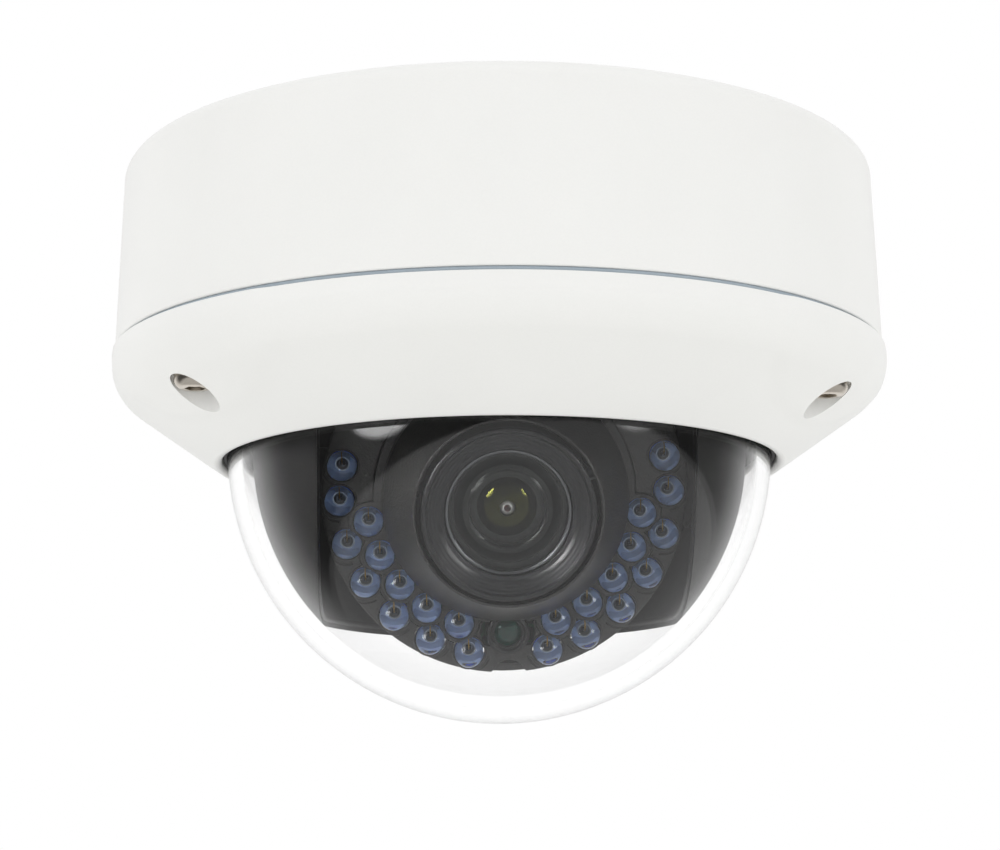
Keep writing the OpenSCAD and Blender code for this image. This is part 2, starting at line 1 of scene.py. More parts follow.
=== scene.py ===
"""Looks of a ceiling dome camera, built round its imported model.

Lengths in this file are millimetres unless a name says otherwise; Surface.piece turns them into metres.
Heights are measured down from the ceiling face, so they are negative. The lens looks towards -Y.
"""

from __future__ import annotations

import json
import logging
from dataclasses import dataclass, field
from enum import Enum
from typing import Any, Iterable, Sequence

import bpy
import numpy as np
from mathutils import Matrix, Vector

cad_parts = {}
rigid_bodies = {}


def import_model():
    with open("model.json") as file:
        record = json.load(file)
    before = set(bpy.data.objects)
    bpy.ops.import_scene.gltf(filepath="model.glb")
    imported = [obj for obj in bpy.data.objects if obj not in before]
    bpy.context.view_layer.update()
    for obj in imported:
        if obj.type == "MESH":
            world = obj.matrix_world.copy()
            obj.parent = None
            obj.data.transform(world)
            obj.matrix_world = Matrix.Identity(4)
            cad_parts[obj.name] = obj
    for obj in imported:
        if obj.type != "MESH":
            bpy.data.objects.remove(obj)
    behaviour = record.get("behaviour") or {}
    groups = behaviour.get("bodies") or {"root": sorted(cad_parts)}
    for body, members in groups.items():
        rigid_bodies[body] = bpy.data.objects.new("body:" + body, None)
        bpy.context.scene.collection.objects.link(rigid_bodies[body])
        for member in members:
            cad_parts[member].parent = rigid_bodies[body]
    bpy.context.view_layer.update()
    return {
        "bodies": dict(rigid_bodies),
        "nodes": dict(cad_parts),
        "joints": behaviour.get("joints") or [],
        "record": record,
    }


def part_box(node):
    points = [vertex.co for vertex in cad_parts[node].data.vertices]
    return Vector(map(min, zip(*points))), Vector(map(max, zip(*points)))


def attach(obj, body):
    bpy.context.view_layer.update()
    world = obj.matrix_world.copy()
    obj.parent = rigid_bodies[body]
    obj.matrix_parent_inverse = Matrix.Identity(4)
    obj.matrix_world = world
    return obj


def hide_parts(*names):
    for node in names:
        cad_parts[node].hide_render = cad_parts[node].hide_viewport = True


LOG = logging.getLogger("dome_camera")
METRES = 0.001
ROUND = 160  # segments round a large turned piece
SMALL_ROUND = 48  # segments round a screw or a lamp


# ---- Surfaces ------------------------------------------------------------------------------------


@dataclass
class Surface:
    """Points in millimetres, and the faces between them as rows of point numbers."""

    points: np.ndarray
    faces: np.ndarray

    @staticmethod
    def grid(points: np.ndarray, wrap_u: bool = False, wrap_v: bool = False) -> Surface:
        """Joins a rows x columns x 3 array of points into four-sided faces.

        Args:
            points: the places of the grid's corners.
            wrap_u: whether the last row joins the first.
            wrap_v: whether the last column joins the first.

        Returns:
            The surface through all the points.
        """
        rows, columns = points.shape[:2]
        number = np.arange(rows * columns).reshape(rows, columns)
        if wrap_u:
            number = np.vstack([number, number[:1]])
        if wrap_v:
            number = np.hstack([number, number[:, :1]])
        corners = (number[:-1, :-1], number[:-1, 1:], number[1:, 1:], number[1:, :-1])
        faces = np.stack([c.ravel() for c in corners], axis=1)
        return Surface(points.reshape(-1, 3).astype(float), faces)

    @staticmethod
    def joined(parts: Iterable[Surface]) -> Surface:
        """Puts several surfaces into one, with their point numbers shifted to match."""
        parts = list(parts)
        shifts = np.cumsum([0] + [len(p.points) for p in parts[:-1]])
        faces = [p.faces + s for p, s in zip(parts, shifts)]
        return Surface(np.vstack([p.points for p in parts]), np.vstack(faces))

    def moved(self, matrix: np.ndarray) -> Surface:
        """The surface carried by a 4 x 4 matrix."""
        return Surface(self.points @ matrix[:3, :3].T + matrix[:3, 3], self.faces)

    def piece(self, name: str, smooth_below_deg: float = 35.0) -> bpy.types.Object:
        """Makes the surface a Blender object in metres, with closed poles and outward faces.

        Args:
            name: the piece's name.
            smooth_below_deg: edges that turn less than this are shaded smooth.

        Returns:
            The new object, at the origin.
        """
        mesh = bpy.data.meshes.new(name)
        mesh.from_pydata((self.points * METRES).tolist(), [], self.faces.tolist())
        tidy_mesh(mesh)
        mesh.shade_smooth()
        mesh.set_sharp_from_angle(angle=np.radians(smooth_below_deg))
        piece = bpy.data.objects.new(name, mesh)
        bpy.context.scene.collection.objects.link(piece)
        return piece


def tidy_mesh(mesh: bpy.types.Mesh) -> None:
    """Merges points that share a place, which closes poles, and turns all faces outwards."""
    import bmesh

    work = bmesh.new()
    work.from_mesh(mesh)
    bmesh.ops.remove_doubles(work, verts=work.verts, dist=1e-6)
    bmesh.ops.dissolve_degenerate(work, dist=1e-7, edges=work.edges)
    bmesh.ops.recalc_face_normals(work, faces=work.faces)
    work.to_mesh(mesh)
    work.free()


def arc(centre: Sequence[float], radius: float, start: float, stop: float, count: int = 8) -> np.ndarray:
    """Points on a circle about centre, from angle start to angle stop in degrees."""
    angle = np.radians(np.linspace(start, stop, count))
    return np.column_stack([centre[0] + radius * np.cos(angle), centre[1] + radius * np.sin(angle)])


def rounded(corners: Sequence[Sequence[float]], steps: int = 5) -> np.ndarray:
    """Closed outline with rounded corners.

    Each corner is (r, z, radius). The round touches both sides at radius * tan(half the turn) from the
    corner, and its middle lies on the corner's bisector.

    Args:
        corners: the outline's corners, in order.
        steps: points in each round.

    Returns:
        The outline's points, as rows of (r, z).
    """
    data = np.array([(c[0], c[1], c[2] if len(c) > 2 else 0.0) for c in corners], float)
    place, radius = data[:, :2], data[:, 2:]
    back = np.roll(place, 1, axis=0) - place
    ahead = np.roll(place, -1, axis=0) - place
    back_long = np.linalg.norm(back, axis=1, keepdims=True)
    ahead_long = np.linalg.norm(ahead, axis=1, keepdims=True)
    back, ahead = back / back_long, ahead / ahead_long
    cosine = np.clip((back * ahead).sum(1, keepdims=True), -0.9999, 0.9999)
    half = np.arccos(cosine) / 2
    reach = np.minimum(radius / np.tan(half), 0.49 * np.minimum(back_long, ahead_long))
    reach = np.maximum(reach, 1e-5)
    size = reach * np.tan(half)
    bisector = back + ahead
    bisector /= np.linalg.norm(bisector, axis=1, keepdims=True)
    centre = place + bisector * size / np.sin(half)
    first, last = place + back * reach - centre, place + ahead * reach - centre
    share = np.linspace(0, 1, steps)[None, :, None]
    swing = np.pi - 2 * half[:, None]
    weight_a = np.sin((1 - share) * swing) / np.sin(swing)
    weight_b = np.sin(share * swing) / np.sin(swing)
    points = centre[:, None] + weight_a * first[:, None] + weight_b * last[:, None]
    return points.reshape(-1, 2)


def lathe(outline: np.ndarray, segments: int = ROUND, closed: bool = True) -> Surface:
    """Turns an outline of (r, z) rows about the Z axis: (r cos a, r sin a, z) for each angle a."""
    angle = np.linspace(0, 2 * np.pi, segments, endpoint=False)
    radius, height = outline[:, 0], outline[:, 1]
    points = np.stack([np.outer(radius, np.cos(angle)), np.outer(radius, np.sin(angle)),
                       np.repeat(height[:, None], segments, axis=1)], axis=2)
    return Surface.grid(points, wrap_u=closed, wrap_v=True)


def slab(outline: np.ndarray, low: float, high: float, edge: float = 0.2, steps: int = 4) -> Surface:
    """A flat plate with the given (x, y) outline and rounded edges, from height low to height high.

    Each ring of points is the outline drawn in towards its middle along the outline's own normals.
    """
    ahead = np.roll(outline, -1, axis=0) - np.roll(outline, 1, axis=0)
    normal = np.column_stack([ahead[:, 1], -ahead[:, 0]])
    normal /= np.linalg.norm(normal, axis=1, keepdims=True)
    turn = np.linspace(0, np.pi / 2, steps)
    near_full, near_none = edge * (1 - np.sin(turn)), edge * (1 - np.cos(turn))
    rings = [(inset, low + rise) for inset, rise in zip(near_full, near_none)]
    rings += [(inset, high - drop) for inset, drop in zip(near_none, near_full)]
    levels = [np.column_stack([outline - normal * inset, np.full(len(outline), height)]) for inset, height in rings]
    middle = outline.mean(axis=0)
    floor, roof = (np.tile([*middle, height], (len(outline), 1)) for height in (low, high))
    return Surface.grid(np.stack([floor, *levels, roof]), wrap_v=True)


def tube(path: np.ndarray, radius: float, sides: int = 12, closed: bool = False) -> Surface:
    """A round bar along a path.

    Its section stands square to the path: one side vector comes from the cross product of the path's
    direction with a fixed vector that the path never follows, the other from a second cross product.
    """
    ahead = np.roll(path, -1, axis=0) - np.roll(path, 1, axis=0) if closed else np.gradient(path, axis=0)
    ahead /= np.linalg.norm(ahead, axis=1, keepdims=True)
    spread = np.abs(ahead).max(axis=0)
    fixed = np.eye(3)[int(np.argmin(spread))]
    side = np.cross(ahead, fixed)
    side /= np.linalg.norm(side, axis=1, keepdims=True)
    other = np.cross(ahead, side)
    angle = np.linspace(0, 2 * np.pi, sides, endpoint=False)[None, :, None]
    rings = path[:, None] + radius * (np.cos(angle) * side[:, None] + np.sin(angle) * other[:, None])
    if not closed:
        rings = np.concatenate([np.repeat(path[:1, None], sides, axis=1), rings,
                                np.repeat(path[-1:, None], sides, axis=1)])
    return Surface.grid(rings, wrap_u=closed, wrap_v=True)


def at(radius: float, angle_deg: float, height: float = 0.0) -> np.ndarray:
    """Place at a radius and an angle from the front; on the head, the angle is from straight down."""
    angle = np.radians(angle_deg)
    return np.array([radius * np.sin(angle), -radius * np.cos(angle), height])


def shift(place: Sequence[float]) -> np.ndarray:
    """Matrix that moves the origin to a place."""
    matrix = np.eye(4)
    matrix[:3, 3] = place
    return matrix


def carve(piece: bpy.types.Object, tools: Sequence[bpy.types.Object],
          smooth_below_deg: float = 35.0) -> bpy.types.Object:
    """Cuts tools out of a piece and removes the tools.

    Args:
        piece: the object to change.
        tools: closed objects, used up by this.
        smooth_below_deg: edges that turn less than this are shaded smooth afterwards.

    Returns:
        The same object with its new mesh.
    """
    for tool in tools:
        change = piece.modifiers.new("carve", "BOOLEAN")
        change.operation, change.solver, change.object = "DIFFERENCE", "MANIFOLD", tool
    bpy.context.view_layer.update()
    result = bpy.data.meshes.new_from_object(piece.evaluated_get(bpy.context.evaluated_depsgraph_get()))
    piece.modifiers.clear()
    piece.data = result
    for tool in tools:
        bpy.data.objects.remove(tool)
    result.shade_smooth()
    result.set_sharp_from_angle(angle=np.radians(smooth_below_deg))
    return piece


# ---- Finishes ------------------------------------------------------------------------------------


def linear(hex_colour: str) -> tuple[float, float, float, float]:
    """Turns an sRGB hex value into the linear colour that shaders use."""
    value = np.array([int(hex_colour[k:k + 2], 16) for k in (1, 3, 5)]) / 255
    out = np.where(value <= 0.04045, value / 12.92, ((value + 0.055) / 1.055) ** 2.4)
    return (*map(float, out), 1.0)


def per_metre(size_mm: float) -> float:
    """Texture scale that makes one pattern cell about size_mm wide on object coordinates."""
    return 1.0 / (size_mm * METRES)


def add_node(tree: bpy.types.NodeTree, kind: str, settings: dict[str, Any] | None = None,
             links: dict[str | int, Any] | None = None) -> bpy.types.Node:
    """Adds a node with its settings and the sockets that feed it.

    Args:
        tree: the material's or world's node tree.
        kind: the node's Blender type name.
        settings: values by attribute name, or by input name or number.
        links: output sockets by the name or number of the input that each one feeds.

    Returns:
        The new node.
    """
    node = tree.nodes.new(kind)
    for key, value in (settings or {}).items():
        if isinstance(key, str) and hasattr(node, key):
            setattr(node, key, value)
        else:
            node.inputs[key].default_value = value
    for key, socket in (links or {}).items():
        tree.links.new(socket, node.inputs[key])
    return node


@dataclass(frozen=True)
class Finish:
    """A moulded, cast or coated surface: an even body with fine grain and slight mottling.

    grain_mm is the width of one grain and grain_deep_mm its height; mottle_mm is the width of a
    cloud of slightly different tone, and mottle how far that tone and the roughness drift.
    """

    name: str
    colour: str
    second: str
    roughness: float
    grain_mm: float
    grain_deep_mm: float
    mottle_mm: float = 14.0
    mottle: float = 0.06
    metallic: float = 0.0
    ior: float = 1.5
    specular: float = 0.5
    coat: float = 0.0
    coat_roughness: float = 0.1

    def shader_settings(self) -> dict[str, Any]:
        """Values that are the same all over the surface, for the shader's own sockets."""
        settings = {"Metallic": self.metallic, "Specular IOR Level": self.specular,
                    "Coat Weight": self.coat, "Coat Roughness": self.coat_roughness}
        if not self.metallic:
            settings["IOR"] = self.ior
        return settings

    def patterns(self, tree: bpy.types.NodeTree) -> dict[str, Any]:
        """Sockets that feed the shader: tone, roughness and grain.

        Args:
            tree: the material's node tree.

        Returns:
            Output sockets by the name of the shader input that each one feeds.
        """
        place = add_node(tree, "ShaderNodeTexCoord").outputs["Object"]
        cloud = add_node(tree, "ShaderNodeTexNoise", {"Scale": per_metre(self.mottle_mm), "Detail": 3.0},
                         {"Vector": place})
        fine = add_node(tree, "ShaderNodeTexNoise", {"Scale": per_metre(self.grain_mm), "Detail": 2.0,
                                                     "Roughness": 0.6}, {"Vector": place})
        blend = add_node(tree, "ShaderNodeMath", {"operation": "MULTIPLY_ADD", 1: 0.5, 2: 0.0},
                         {0: cloud.outputs["Fac"]})
        both = add_node(tree, "ShaderNodeMath", {"operation": "MULTIPLY_ADD", 1: 0.5},
                        {0: fine.outputs["Fac"], 2: blend.outputs[0]})
        tone = add_node(tree, "ShaderNodeMix", {"data_type": "RGBA", 6: linear(self.colour),
                                                7: linear(self.second)}, {0: both.outputs[0]})
        rough = add_node(tree, "ShaderNodeMapRange",
                         {"To Min": max(0.0, self.roughness - self.mottle), "To Max": self.roughness + self.mottle},
                         {"Value": both.outputs[0]})
        bump = add_node(tree, "ShaderNodeBump", {"Strength": 1.0, "Distance": self.grain_deep_mm * METRES},
                        {"Height": fine.outputs["Fac"]})
        return {"Base Color": tone.outputs[2], "Roughness": rough.outputs[0], "Normal": bump.outputs[0]}

    def make(self) -> bpy.types.Material:
        """Builds the material: patterns into one principled shader."""
        material = bpy.data.materials.new(self.name)
        material.use_nodes = True
        tree = material.node_tree
        tree.nodes.clear()
        shader = add_node(tree, "ShaderNodeBsdfPrincipled", self.shader_settings(), self.patterns(tree))
        add_node(tree, "ShaderNodeOutputMaterial", links={"Surface": shader.outputs[0]})
        return material


@dataclass(frozen=True)
class TurnedMetal(Finish):
    """Machined or polished metal, whose grain runs round an axis as the tool left it.

    The grain is noise read on coordinates that are squeezed along one direction, so that its cells
    become fine scratches.
    """

    squeeze: tuple[float, float, float] = (1.0, 1.0, 8.0)

    def patterns(self, tree: bpy.types.NodeTree) -> dict[str, Any]:
        """Sockets that feed the shader: tone, roughness and scratches."""
        place = add_node(tree, "ShaderNodeTexCoord").outputs["Object"]
        squeezed = add_node(tree, "ShaderNodeMapping", {"Scale": self.squeeze}, {"Vector": place})
        line = add_node(tree, "ShaderNodeTexNoise", {"Scale": per_metre(self.grain_mm), "Detail": 4.0},
                        {"Vector": squeezed.outputs[0]})
        tone = add_node(tree, "ShaderNodeMix", {"data_type": "RGBA", 6: linear(self.colour),
                                                7: linear(self.second)}, {0: line.outputs["Fac"]})
        rough = add_node(tree, "ShaderNodeMapRange",
                         {"To Min": max(0.02, self.roughness - self.mottle), "To Max": self.roughness + self.mottle},
                         {"Value": line.outputs["Fac"]})
        bump = add_node(tree, "ShaderNodeBump", {"Strength": 1.0, "Distance": self.grain_deep_mm * METRES},
                        {"Height": line.outputs["Fac"]})
        return {"Base Color": tone.outputs[2], "Roughness": rough.outputs[0], "Normal": bump.outputs[0]}


@dataclass(frozen=True)
class ClearSolid(Finish):
    """Clear or tinted plastic or glass: light passes, bends by its index and takes its colour.

    Slight flow marks from moulding, or none on ground glass, come from a very low bump.
    """

    transmission: float = 1.0
    tint: str = "#FFFFFF"

    def shader_settings(self) -> dict[str, Any]:
        """The shared values, how much light passes, and the tint of what is mirrored."""
        return {**super().shader_settings(), "Transmission Weight": self.transmission,
                "Base Color": linear(self.colour), "Roughness": self.roughness, "Specular Tint": linear(self.tint)}

    def patterns(self, tree: bpy.types.NodeTree) -> dict[str, Any]:
        """Sockets that feed the shader: only the faint waves that the mould left."""
        place = add_node(tree, "ShaderNodeTexCoord").outputs["Object"]
        wave = add_node(tree, "ShaderNodeTexNoise", {"Scale": per_metre(self.grain_mm), "Detail": 0.0},
                        {"Vector": place})
        bump = add_node(tree, "ShaderNodeBump", {"Strength": 1.0, "Distance": self.grain_deep_mm * METRES},
                        {"Height": wave.outputs["Fac"]})
        return {"Normal": bump.outputs[0]}


@dataclass(frozen=True)
class PrintedBoard(Finish):
    """Glass-epoxy circuit board under a green mask, with paler copper tracks and tinned pads.

    Tracks are thin lines along the edges of a cell pattern whose distance is measured in square steps.
    """

    track_mm: float = 1.3

    def patterns(self, tree: bpy.types.NodeTree) -> dict[str, Any]:
        """Sockets that feed the shader: mask, tracks and pads."""
        place = add_node(tree, "ShaderNodeTexCoord").outputs["Object"]
        cells = add_node(tree, "ShaderNodeTexVoronoi", {"feature": "DISTANCE_TO_EDGE", "distance": "MANHATTAN",
                                                        "Scale": per_metre(self.track_mm * 3)}, {"Vector": place})
        track = add_node(tree, "ShaderNodeMath", {"operation": "LESS_THAN", 1: 0.07},
                         {0: cells.outputs["Distance"]})
        pads = add_node(tree, "ShaderNodeTexVoronoi", {"Scale": per_metre(self.track_mm * 2)}, {"Vector": place})
        pad = add_node(tree, "ShaderNodeMath", {"operation": "LESS_THAN", 1: 0.16}, {0: pads.outputs["Distance"]})
        mask = add_node(tree, "ShaderNodeMix", {"data_type": "RGBA", 6: linear(self.colour),
                                                7: linear(self.second)}, {0: track.outputs[0]})
        tone = add_node(tree, "ShaderNodeMix", {"data_type": "RGBA", 7: linear("#C9C4B4")},
                        {0: pad.outputs[0], 6: mask.outputs[2]})
        bump = add_node(tree, "ShaderNodeBump", {"Strength": 0.6, "Distance": self.grain_deep_mm * METRES},
                        {"Height": track.outputs[0]})
        rough = add_node(tree, "ShaderNodeMapRange", {"To Min": self.roughness, "To Max": 0.22},
                         {"Value": pad.outputs[0]})
        return {"Base Color": tone.outputs[2], "Roughness": rough.outputs[0], "Normal": bump.outputs[0]}


POWDER_COAT = Finish("white_powder_coat", "#F1F1EF", "#E9E9E7", 0.42, 0.35, 0.004, 18, 0.05, coat=0.15,
                     coat_roughness=0.25)  # baked polyester powder: faint orange peel, soft sheen
SILICONE_SEAL = Finish("grey_blue_silicone", "#AEB9C2", "#98A5B0", 0.5, 0.4, 0.006)
MOULDED_RUBBER = Finish("moulded_rubber", "#0E0E0F", "#1A1A1B", 0.62, 0.3, 0.01)
SPARK_TEXTURED_ABS = Finish("spark_textured_abs", "#1E1E1D", "#383836", 0.4, 0.42, 0.1, 6, 0.1,
                            specular=0.6)  # an eroded mould leaves sparkling even pits
SATIN_ABS = Finish("satin_black_abs", "#141413", "#232322", 0.42, 0.35, 0.02, 9, 0.08)
GLASS_FILLED_NYLON = Finish("glass_filled_nylon", "#161617", "#262627", 0.5, 0.6, 0.02, 5, 0.08)
BLACK_ANODISED = TurnedMetal("black_anodised_aluminium", "#17181A", "#232527", 0.36, 0.5, 0.0012, 8, 0.06,
                             specular=0.5)  # dyed oxide over fine turning marks
MACHINED_ALUMINIUM = TurnedMetal("machined_aluminium", "#C9CACC", "#AEB0B3", 0.3, 0.5, 0.006, 8, 0.08, metallic=1.0)
ZINC_PLATE = TurnedMetal("zinc_plated_steel", "#B9BBBC", "#94979B", 0.36, 1.2, 0.006, 8, 0.1, metallic=1.0,
                         squeeze=(1.0, 6.0, 1.0))
STAINLESS_STEEL = TurnedMetal("polished_stainless_steel", "#F0E8DC", "#CFC7BB", 0.3, 0.4, 0.003, 8, 0.06,
                              metallic=1.0)
BRASS_PLATE = TurnedMetal("plated_brass", "#C7A05A", "#A9803C", 0.3, 0.5, 0.004, 8, 0.08, metallic=1.0)
ENAMELLED_COPPER = TurnedMetal("enamelled_copper_wire", "#B0602C", "#7E3E1B", 0.3, 0.25, 0.02, 8, 0.05,
                               metallic=1.0, squeeze=(1.0, 1.0, 10.0))
GREEN_BOARD = PrintedBoard("green_circuit_board", "#0C3B22", "#165A34", 0.35, 1.0, 0.02)
CHIP_EPOXY = Finish("black_chip_epoxy", "#131314", "#1C1C1E", 0.55, 0.2, 0.01)
IVORY_NYLON = Finish("ivory_nylon", "#E4DFCF", "#D8D2BF", 0.4, 0.5, 0.006)
CLEAR_POLYCARBONATE = ClearSolid("clear_polycarbonate", "#FFFFFF", "#FFFFFF", 0.0, 40.0, 0.001, ior=1.45)
LAMP_EPOXY = ClearSolid("blue_tinted_epoxy", "#D2E4FF", "#D2E4FF", 0.0, 3.0, 0.0005, ior=1.42, specular=0.8)
GREEN_FILTER = ClearSolid("green_filter_glass", "#027A66", "#027A66", 0.03, 3.0, 0.0005, ior=1.55,
                          transmission=0.85)
COATED_GLASS = ClearSolid("coated_lens_glass", "#F4F7F4", "#F4F7F4", 0.0, 20.0, 0.0001, ior=1.25, specular=0.1)
OLIVE_COATING = ClearSolid("olive_coated_glass", "#050503", "#050503", 0.08, 20.0, 0.0001, ior=1.6, specular=0.8,
                           transmission=0.0, tint="#B7B45A")  # dark depth under a coating that mirrors yellow-green
RED_FILTER = ClearSolid("infrared_cut_glass", "#D8606A", "#D8606A", 0.0, 5.0, 0.0003, transmission=0.8)
LAMP_RIM = Finish("deep_blue_lamp_rim", "#2E7BFF", "#1B5FF0", 0.2, 0.5, 0.002, 3, 0.05, specular=0.8)
RING_EDGE = TurnedMetal("bare_ring_edge", "#808284", "#636567", 0.3, 0.5, 0.004, 8, 0.06, metallic=1.0)
LAMP_FLOOR = Finish("silvered_lamp_floor", "#E4F0FF", "#BCD6FF", 0.25, 0.5, 0.004, 3, 0.08, specular=0.8)
# painted highlight: near-white colour stands in for the glint seen in the lens's pupil
PAINTED_GLINT = Finish("painted_glint_rear_element", "#FFFDFD", "#F3ECEE", 0.2, 0.5, 0.001, 2, 0.05, specular=1.0)
REFLEX_CORE = Finish("dark_red_rear_element", "#5A0E14", "#2E0508", 0.2, 0.5, 0.001, 2, 0.05)
PALE_FLOOR = Finish("pale_floor", "#F4F4F2", "#EFEFED", 0.7, 4.0, 0.02, 300, 0.05)
SILICON = Finish("sensor_silicon", "#20262E", "#2B2440", 0.12, 0.4, 0.001, 2, 0.03, metallic=0.6)


# ---- Shared parts --------------------------------------------------------------------------------


class Body(Enum):
    """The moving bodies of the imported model."""

    HOUSING = "housing"
    COVER = "cover"
    TURNTABLE = "turntable"
    CRADLE = "cradle"
    HEAD = "head"
    FRONT_GROUP = "front_group"


@dataclass
class Workshop:
    """Keeps the materials made so far, and hands finished pieces to the frame."""

    frame: dict[str, Any]
    materials: dict[str, bpy.types.Material] = field(default_factory=dict)

    def material(self, finish: Finish) -> bpy.types.Material:
        """The material of a finish, made once."""
        if finish.name not in self.materials:
            self.materials[finish.name] = finish.make()
        return self.materials[finish.name]

    def dress(self, piece: bpy.types.Object, finish: Finish) -> None:
        """Gives a piece one finish all over."""
        piece.data.materials.clear()
        piece.data.materials.append(self.material(finish))

    def deliver(self, piece: bpy.types.Object, finish: Finish, body: Body, slot: str,
                *stands_for: str) -> bpy.types.Object:
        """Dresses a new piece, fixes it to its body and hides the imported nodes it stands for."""
        self.dress(piece, finish)
        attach(piece, body.value)
        if stands_for:
            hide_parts(*stands_for)
        LOG.info("%s: %d points on %s", piece.name, len(piece.data.vertices), body.value)
        return piece

    def dress_node(self, node: str, finish: Finish) -> None:
        """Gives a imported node, whose shape is right as it is, its real finish."""
        self.dress(self.frame["nodes"][node], finish)


@dataclass
class LensAxes:
    """The lens's own frame: +Z out of the lens, +X to the right of someone who faces it."""

    frame: dict[str, Any]

    def matrix(self) -> np.ndarray:
        """Matrix from the lens frame to the model's, read from the joints that follow the lens axis."""
        joints = {j["name"]: j for j in self.frame["joints"]}
        outward = np.array(joints["head_rotate"]["axis"], float)
        right = np.array(joints["filter_shift"]["axis"], float)
        matrix = np.eye(4)
        matrix[:3, 0], matrix[:3, 1], matrix[:3, 2] = right, np.cross(outward, right), outward
        matrix[:3, 3] = np.array(joints["head_rotate"]["pos_m"]) / METRES
        return matrix


# ---- Base ----------------------------------------------------------------------------------------


@dataclass
class Base:
    """The white cup against the ceiling, with its bosses, and the seal in the seam."""

    shop: Workshop
    top_radius: float = 68.2
    seam_radius: float = 69.3
    rim: float = -34.05
    wall: float = 3.0
    screw_radius: float = 61.9
    screw_angles: tuple[float, ...] = (-57.5, 62.5, 182.5)
    ceiling_circle: float = 52.0
    ceiling_hole: float = 2.25
    conduit_angle: float = 122.5
    conduit_height: float = -17.0
    conduit_radius: float = 10.0

    def post(self, radius: float, bore: float, low: float, place: np.ndarray) -> Surface:
        """A hollow post that hangs from the base's roof, with rounded edges and a blind bore."""
        end = min(low + 12, -self.wall)
        outline = np.vstack([[0, end], [bore, end], rounded_lip(bore, radius, low), [radius, -self.wall / 2],
                             [0, -self.wall / 2]])
        return lathe(outline, SMALL_ROUND, closed=False).moved(shift(place))

    def drill(self, radius: float, place: np.ndarray) -> Surface:
        """A round drill through the base's roof."""
        outline = np.array([(0, -8), (radius, -8), (radius, 5), (0, 5)], float)
        return lathe(outline, SMALL_ROUND, closed=False).moved(shift(place))

    def housing(self) -> bpy.types.Object:
        """Cup turned from its wall outline, its posts, and holes for ceiling screws, cable and conduit."""
        cup = rounded([(0.0, 0.0), (self.top_radius, 0, 3.0), (self.seam_radius, self.rim, 0.3),
                       (self.seam_radius - self.wall, self.rim, 0.3),
                       (self.top_radius - self.wall, -self.wall, 1.5), (0.0, -self.wall)], 10)
        piece = lathe(cup, closed=False).piece("base_shell")
        tools = [self.drill(self.ceiling_hole, at(self.ceiling_circle, a)).piece("tool") for a in (45, 135, 225, 315)]
        tools.append(self.drill(6.6, np.array([0.0, 36.0, 0.0])).piece("tool"))
        recess = np.array([(0, 55), (self.conduit_radius, 55), (self.conduit_radius, 64.9),
                           (self.conduit_radius + 2.6, 64.9), (self.conduit_radius + 2.6, 80), (0, 80)], float)
        outwards = radial_matrix(self.conduit_angle, self.conduit_height)
        tools.append(lathe(recess, 96, closed=False).moved(outwards).piece("tool"))
        carve(piece, tools)
        posts = [self.post(4.2, 2.05, self.rim, at(self.screw_radius, a)) for a in self.screw_angles]
        posts += [self.post(3.5, 1.5, -14.5, at(50, a)) for a in (0, 120, 240)]
        posts += [self.post(3.0, 1.25, -8.0, np.array([x, y, 0.0]))
                  for x, y in ((-28, -24), (28, -24), (-26, 14), (26, 14))]
        bosses = Surface.joined(posts).piece("base_posts")
        self.shop.deliver(bosses, POWDER_COAT, Body.HOUSING, "white_paint")
        return self.shop.deliver(piece, POWDER_COAT, Body.HOUSING, "white_paint", "base_housing")

    def seal(self) -> bpy.types.Object:
        """Rounded silicone strip turned about the axis."""
        low, high = (v / METRES for v in (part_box("housing_seal")[0].z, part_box("housing_seal")[1].z))
        strip = rounded([(66.6, low), (68.95, low, 0.3), (68.95, high, 0.3), (66.6, high)], 6)
        return self.shop.deliver(lathe(strip, 240).piece("seam_seal"), SILICONE_SEAL, Body.HOUSING, "seal_rubber",
                                 "housing_seal")

    def build(self) -> None:
        """Makes the base and dresses what it carries."""
        self.housing()
        self.seal()
        for node, finish in (("cable_grommet", MOULDED_RUBBER), ("conduit_plug", POWDER_COAT),
                             ("conduit_plug_seal", MOULDED_RUBBER), ("earth_screw", BRASS_PLATE),
                             ("main_board", GREEN_BOARD), ("main_board_screws", ZINC_PLATE),
                             ("processor", CHIP_EPOXY), ("heat_sink", MACHINED_ALUMINIUM),
                             ("wire_connectors", IVORY_NYLON), ("memory_card_slot", ZINC_PLATE),
                             ("reset_switch", CHIP_EPOXY), ("reset_button", IVORY_NYLON),
                             ("chassis_plate", ZINC_PLATE), ("chassis_screws", ZINC_PLATE),
                             ("friction_ring", MOULDED_RUBBER)):
            self.shop.dress_node(node, finish)


def rounded_lip(inner: float, outer: float, low: float, edge: float = 0.35) -> np.ndarray:
    """The end of a hollow post: from its bore round two soft edges to its outside."""
    return np.vstack([arc((inner + edge, low + edge), edge, 180, 270, 4),
                      arc((outer - edge, low + edge), edge, 270, 360, 4)])


def radial_matrix(angle: float, height: float) -> np.ndarray:
    """Matrix that lays the Z axis outwards along a radius at an angle from the front."""
    outward = at(1.0, angle)
    matrix = np.eye(4)
    matrix[:3, 2] = outward
    matrix[:3, 1] = (0, 0, 1)
    matrix[:3, 0] = np.cross(matrix[:3, 1], outward)
    matrix[:3, 3] = (0, 0, height)
    return matrix


# ---- Cover ---------------------------------------------------------------------------------------


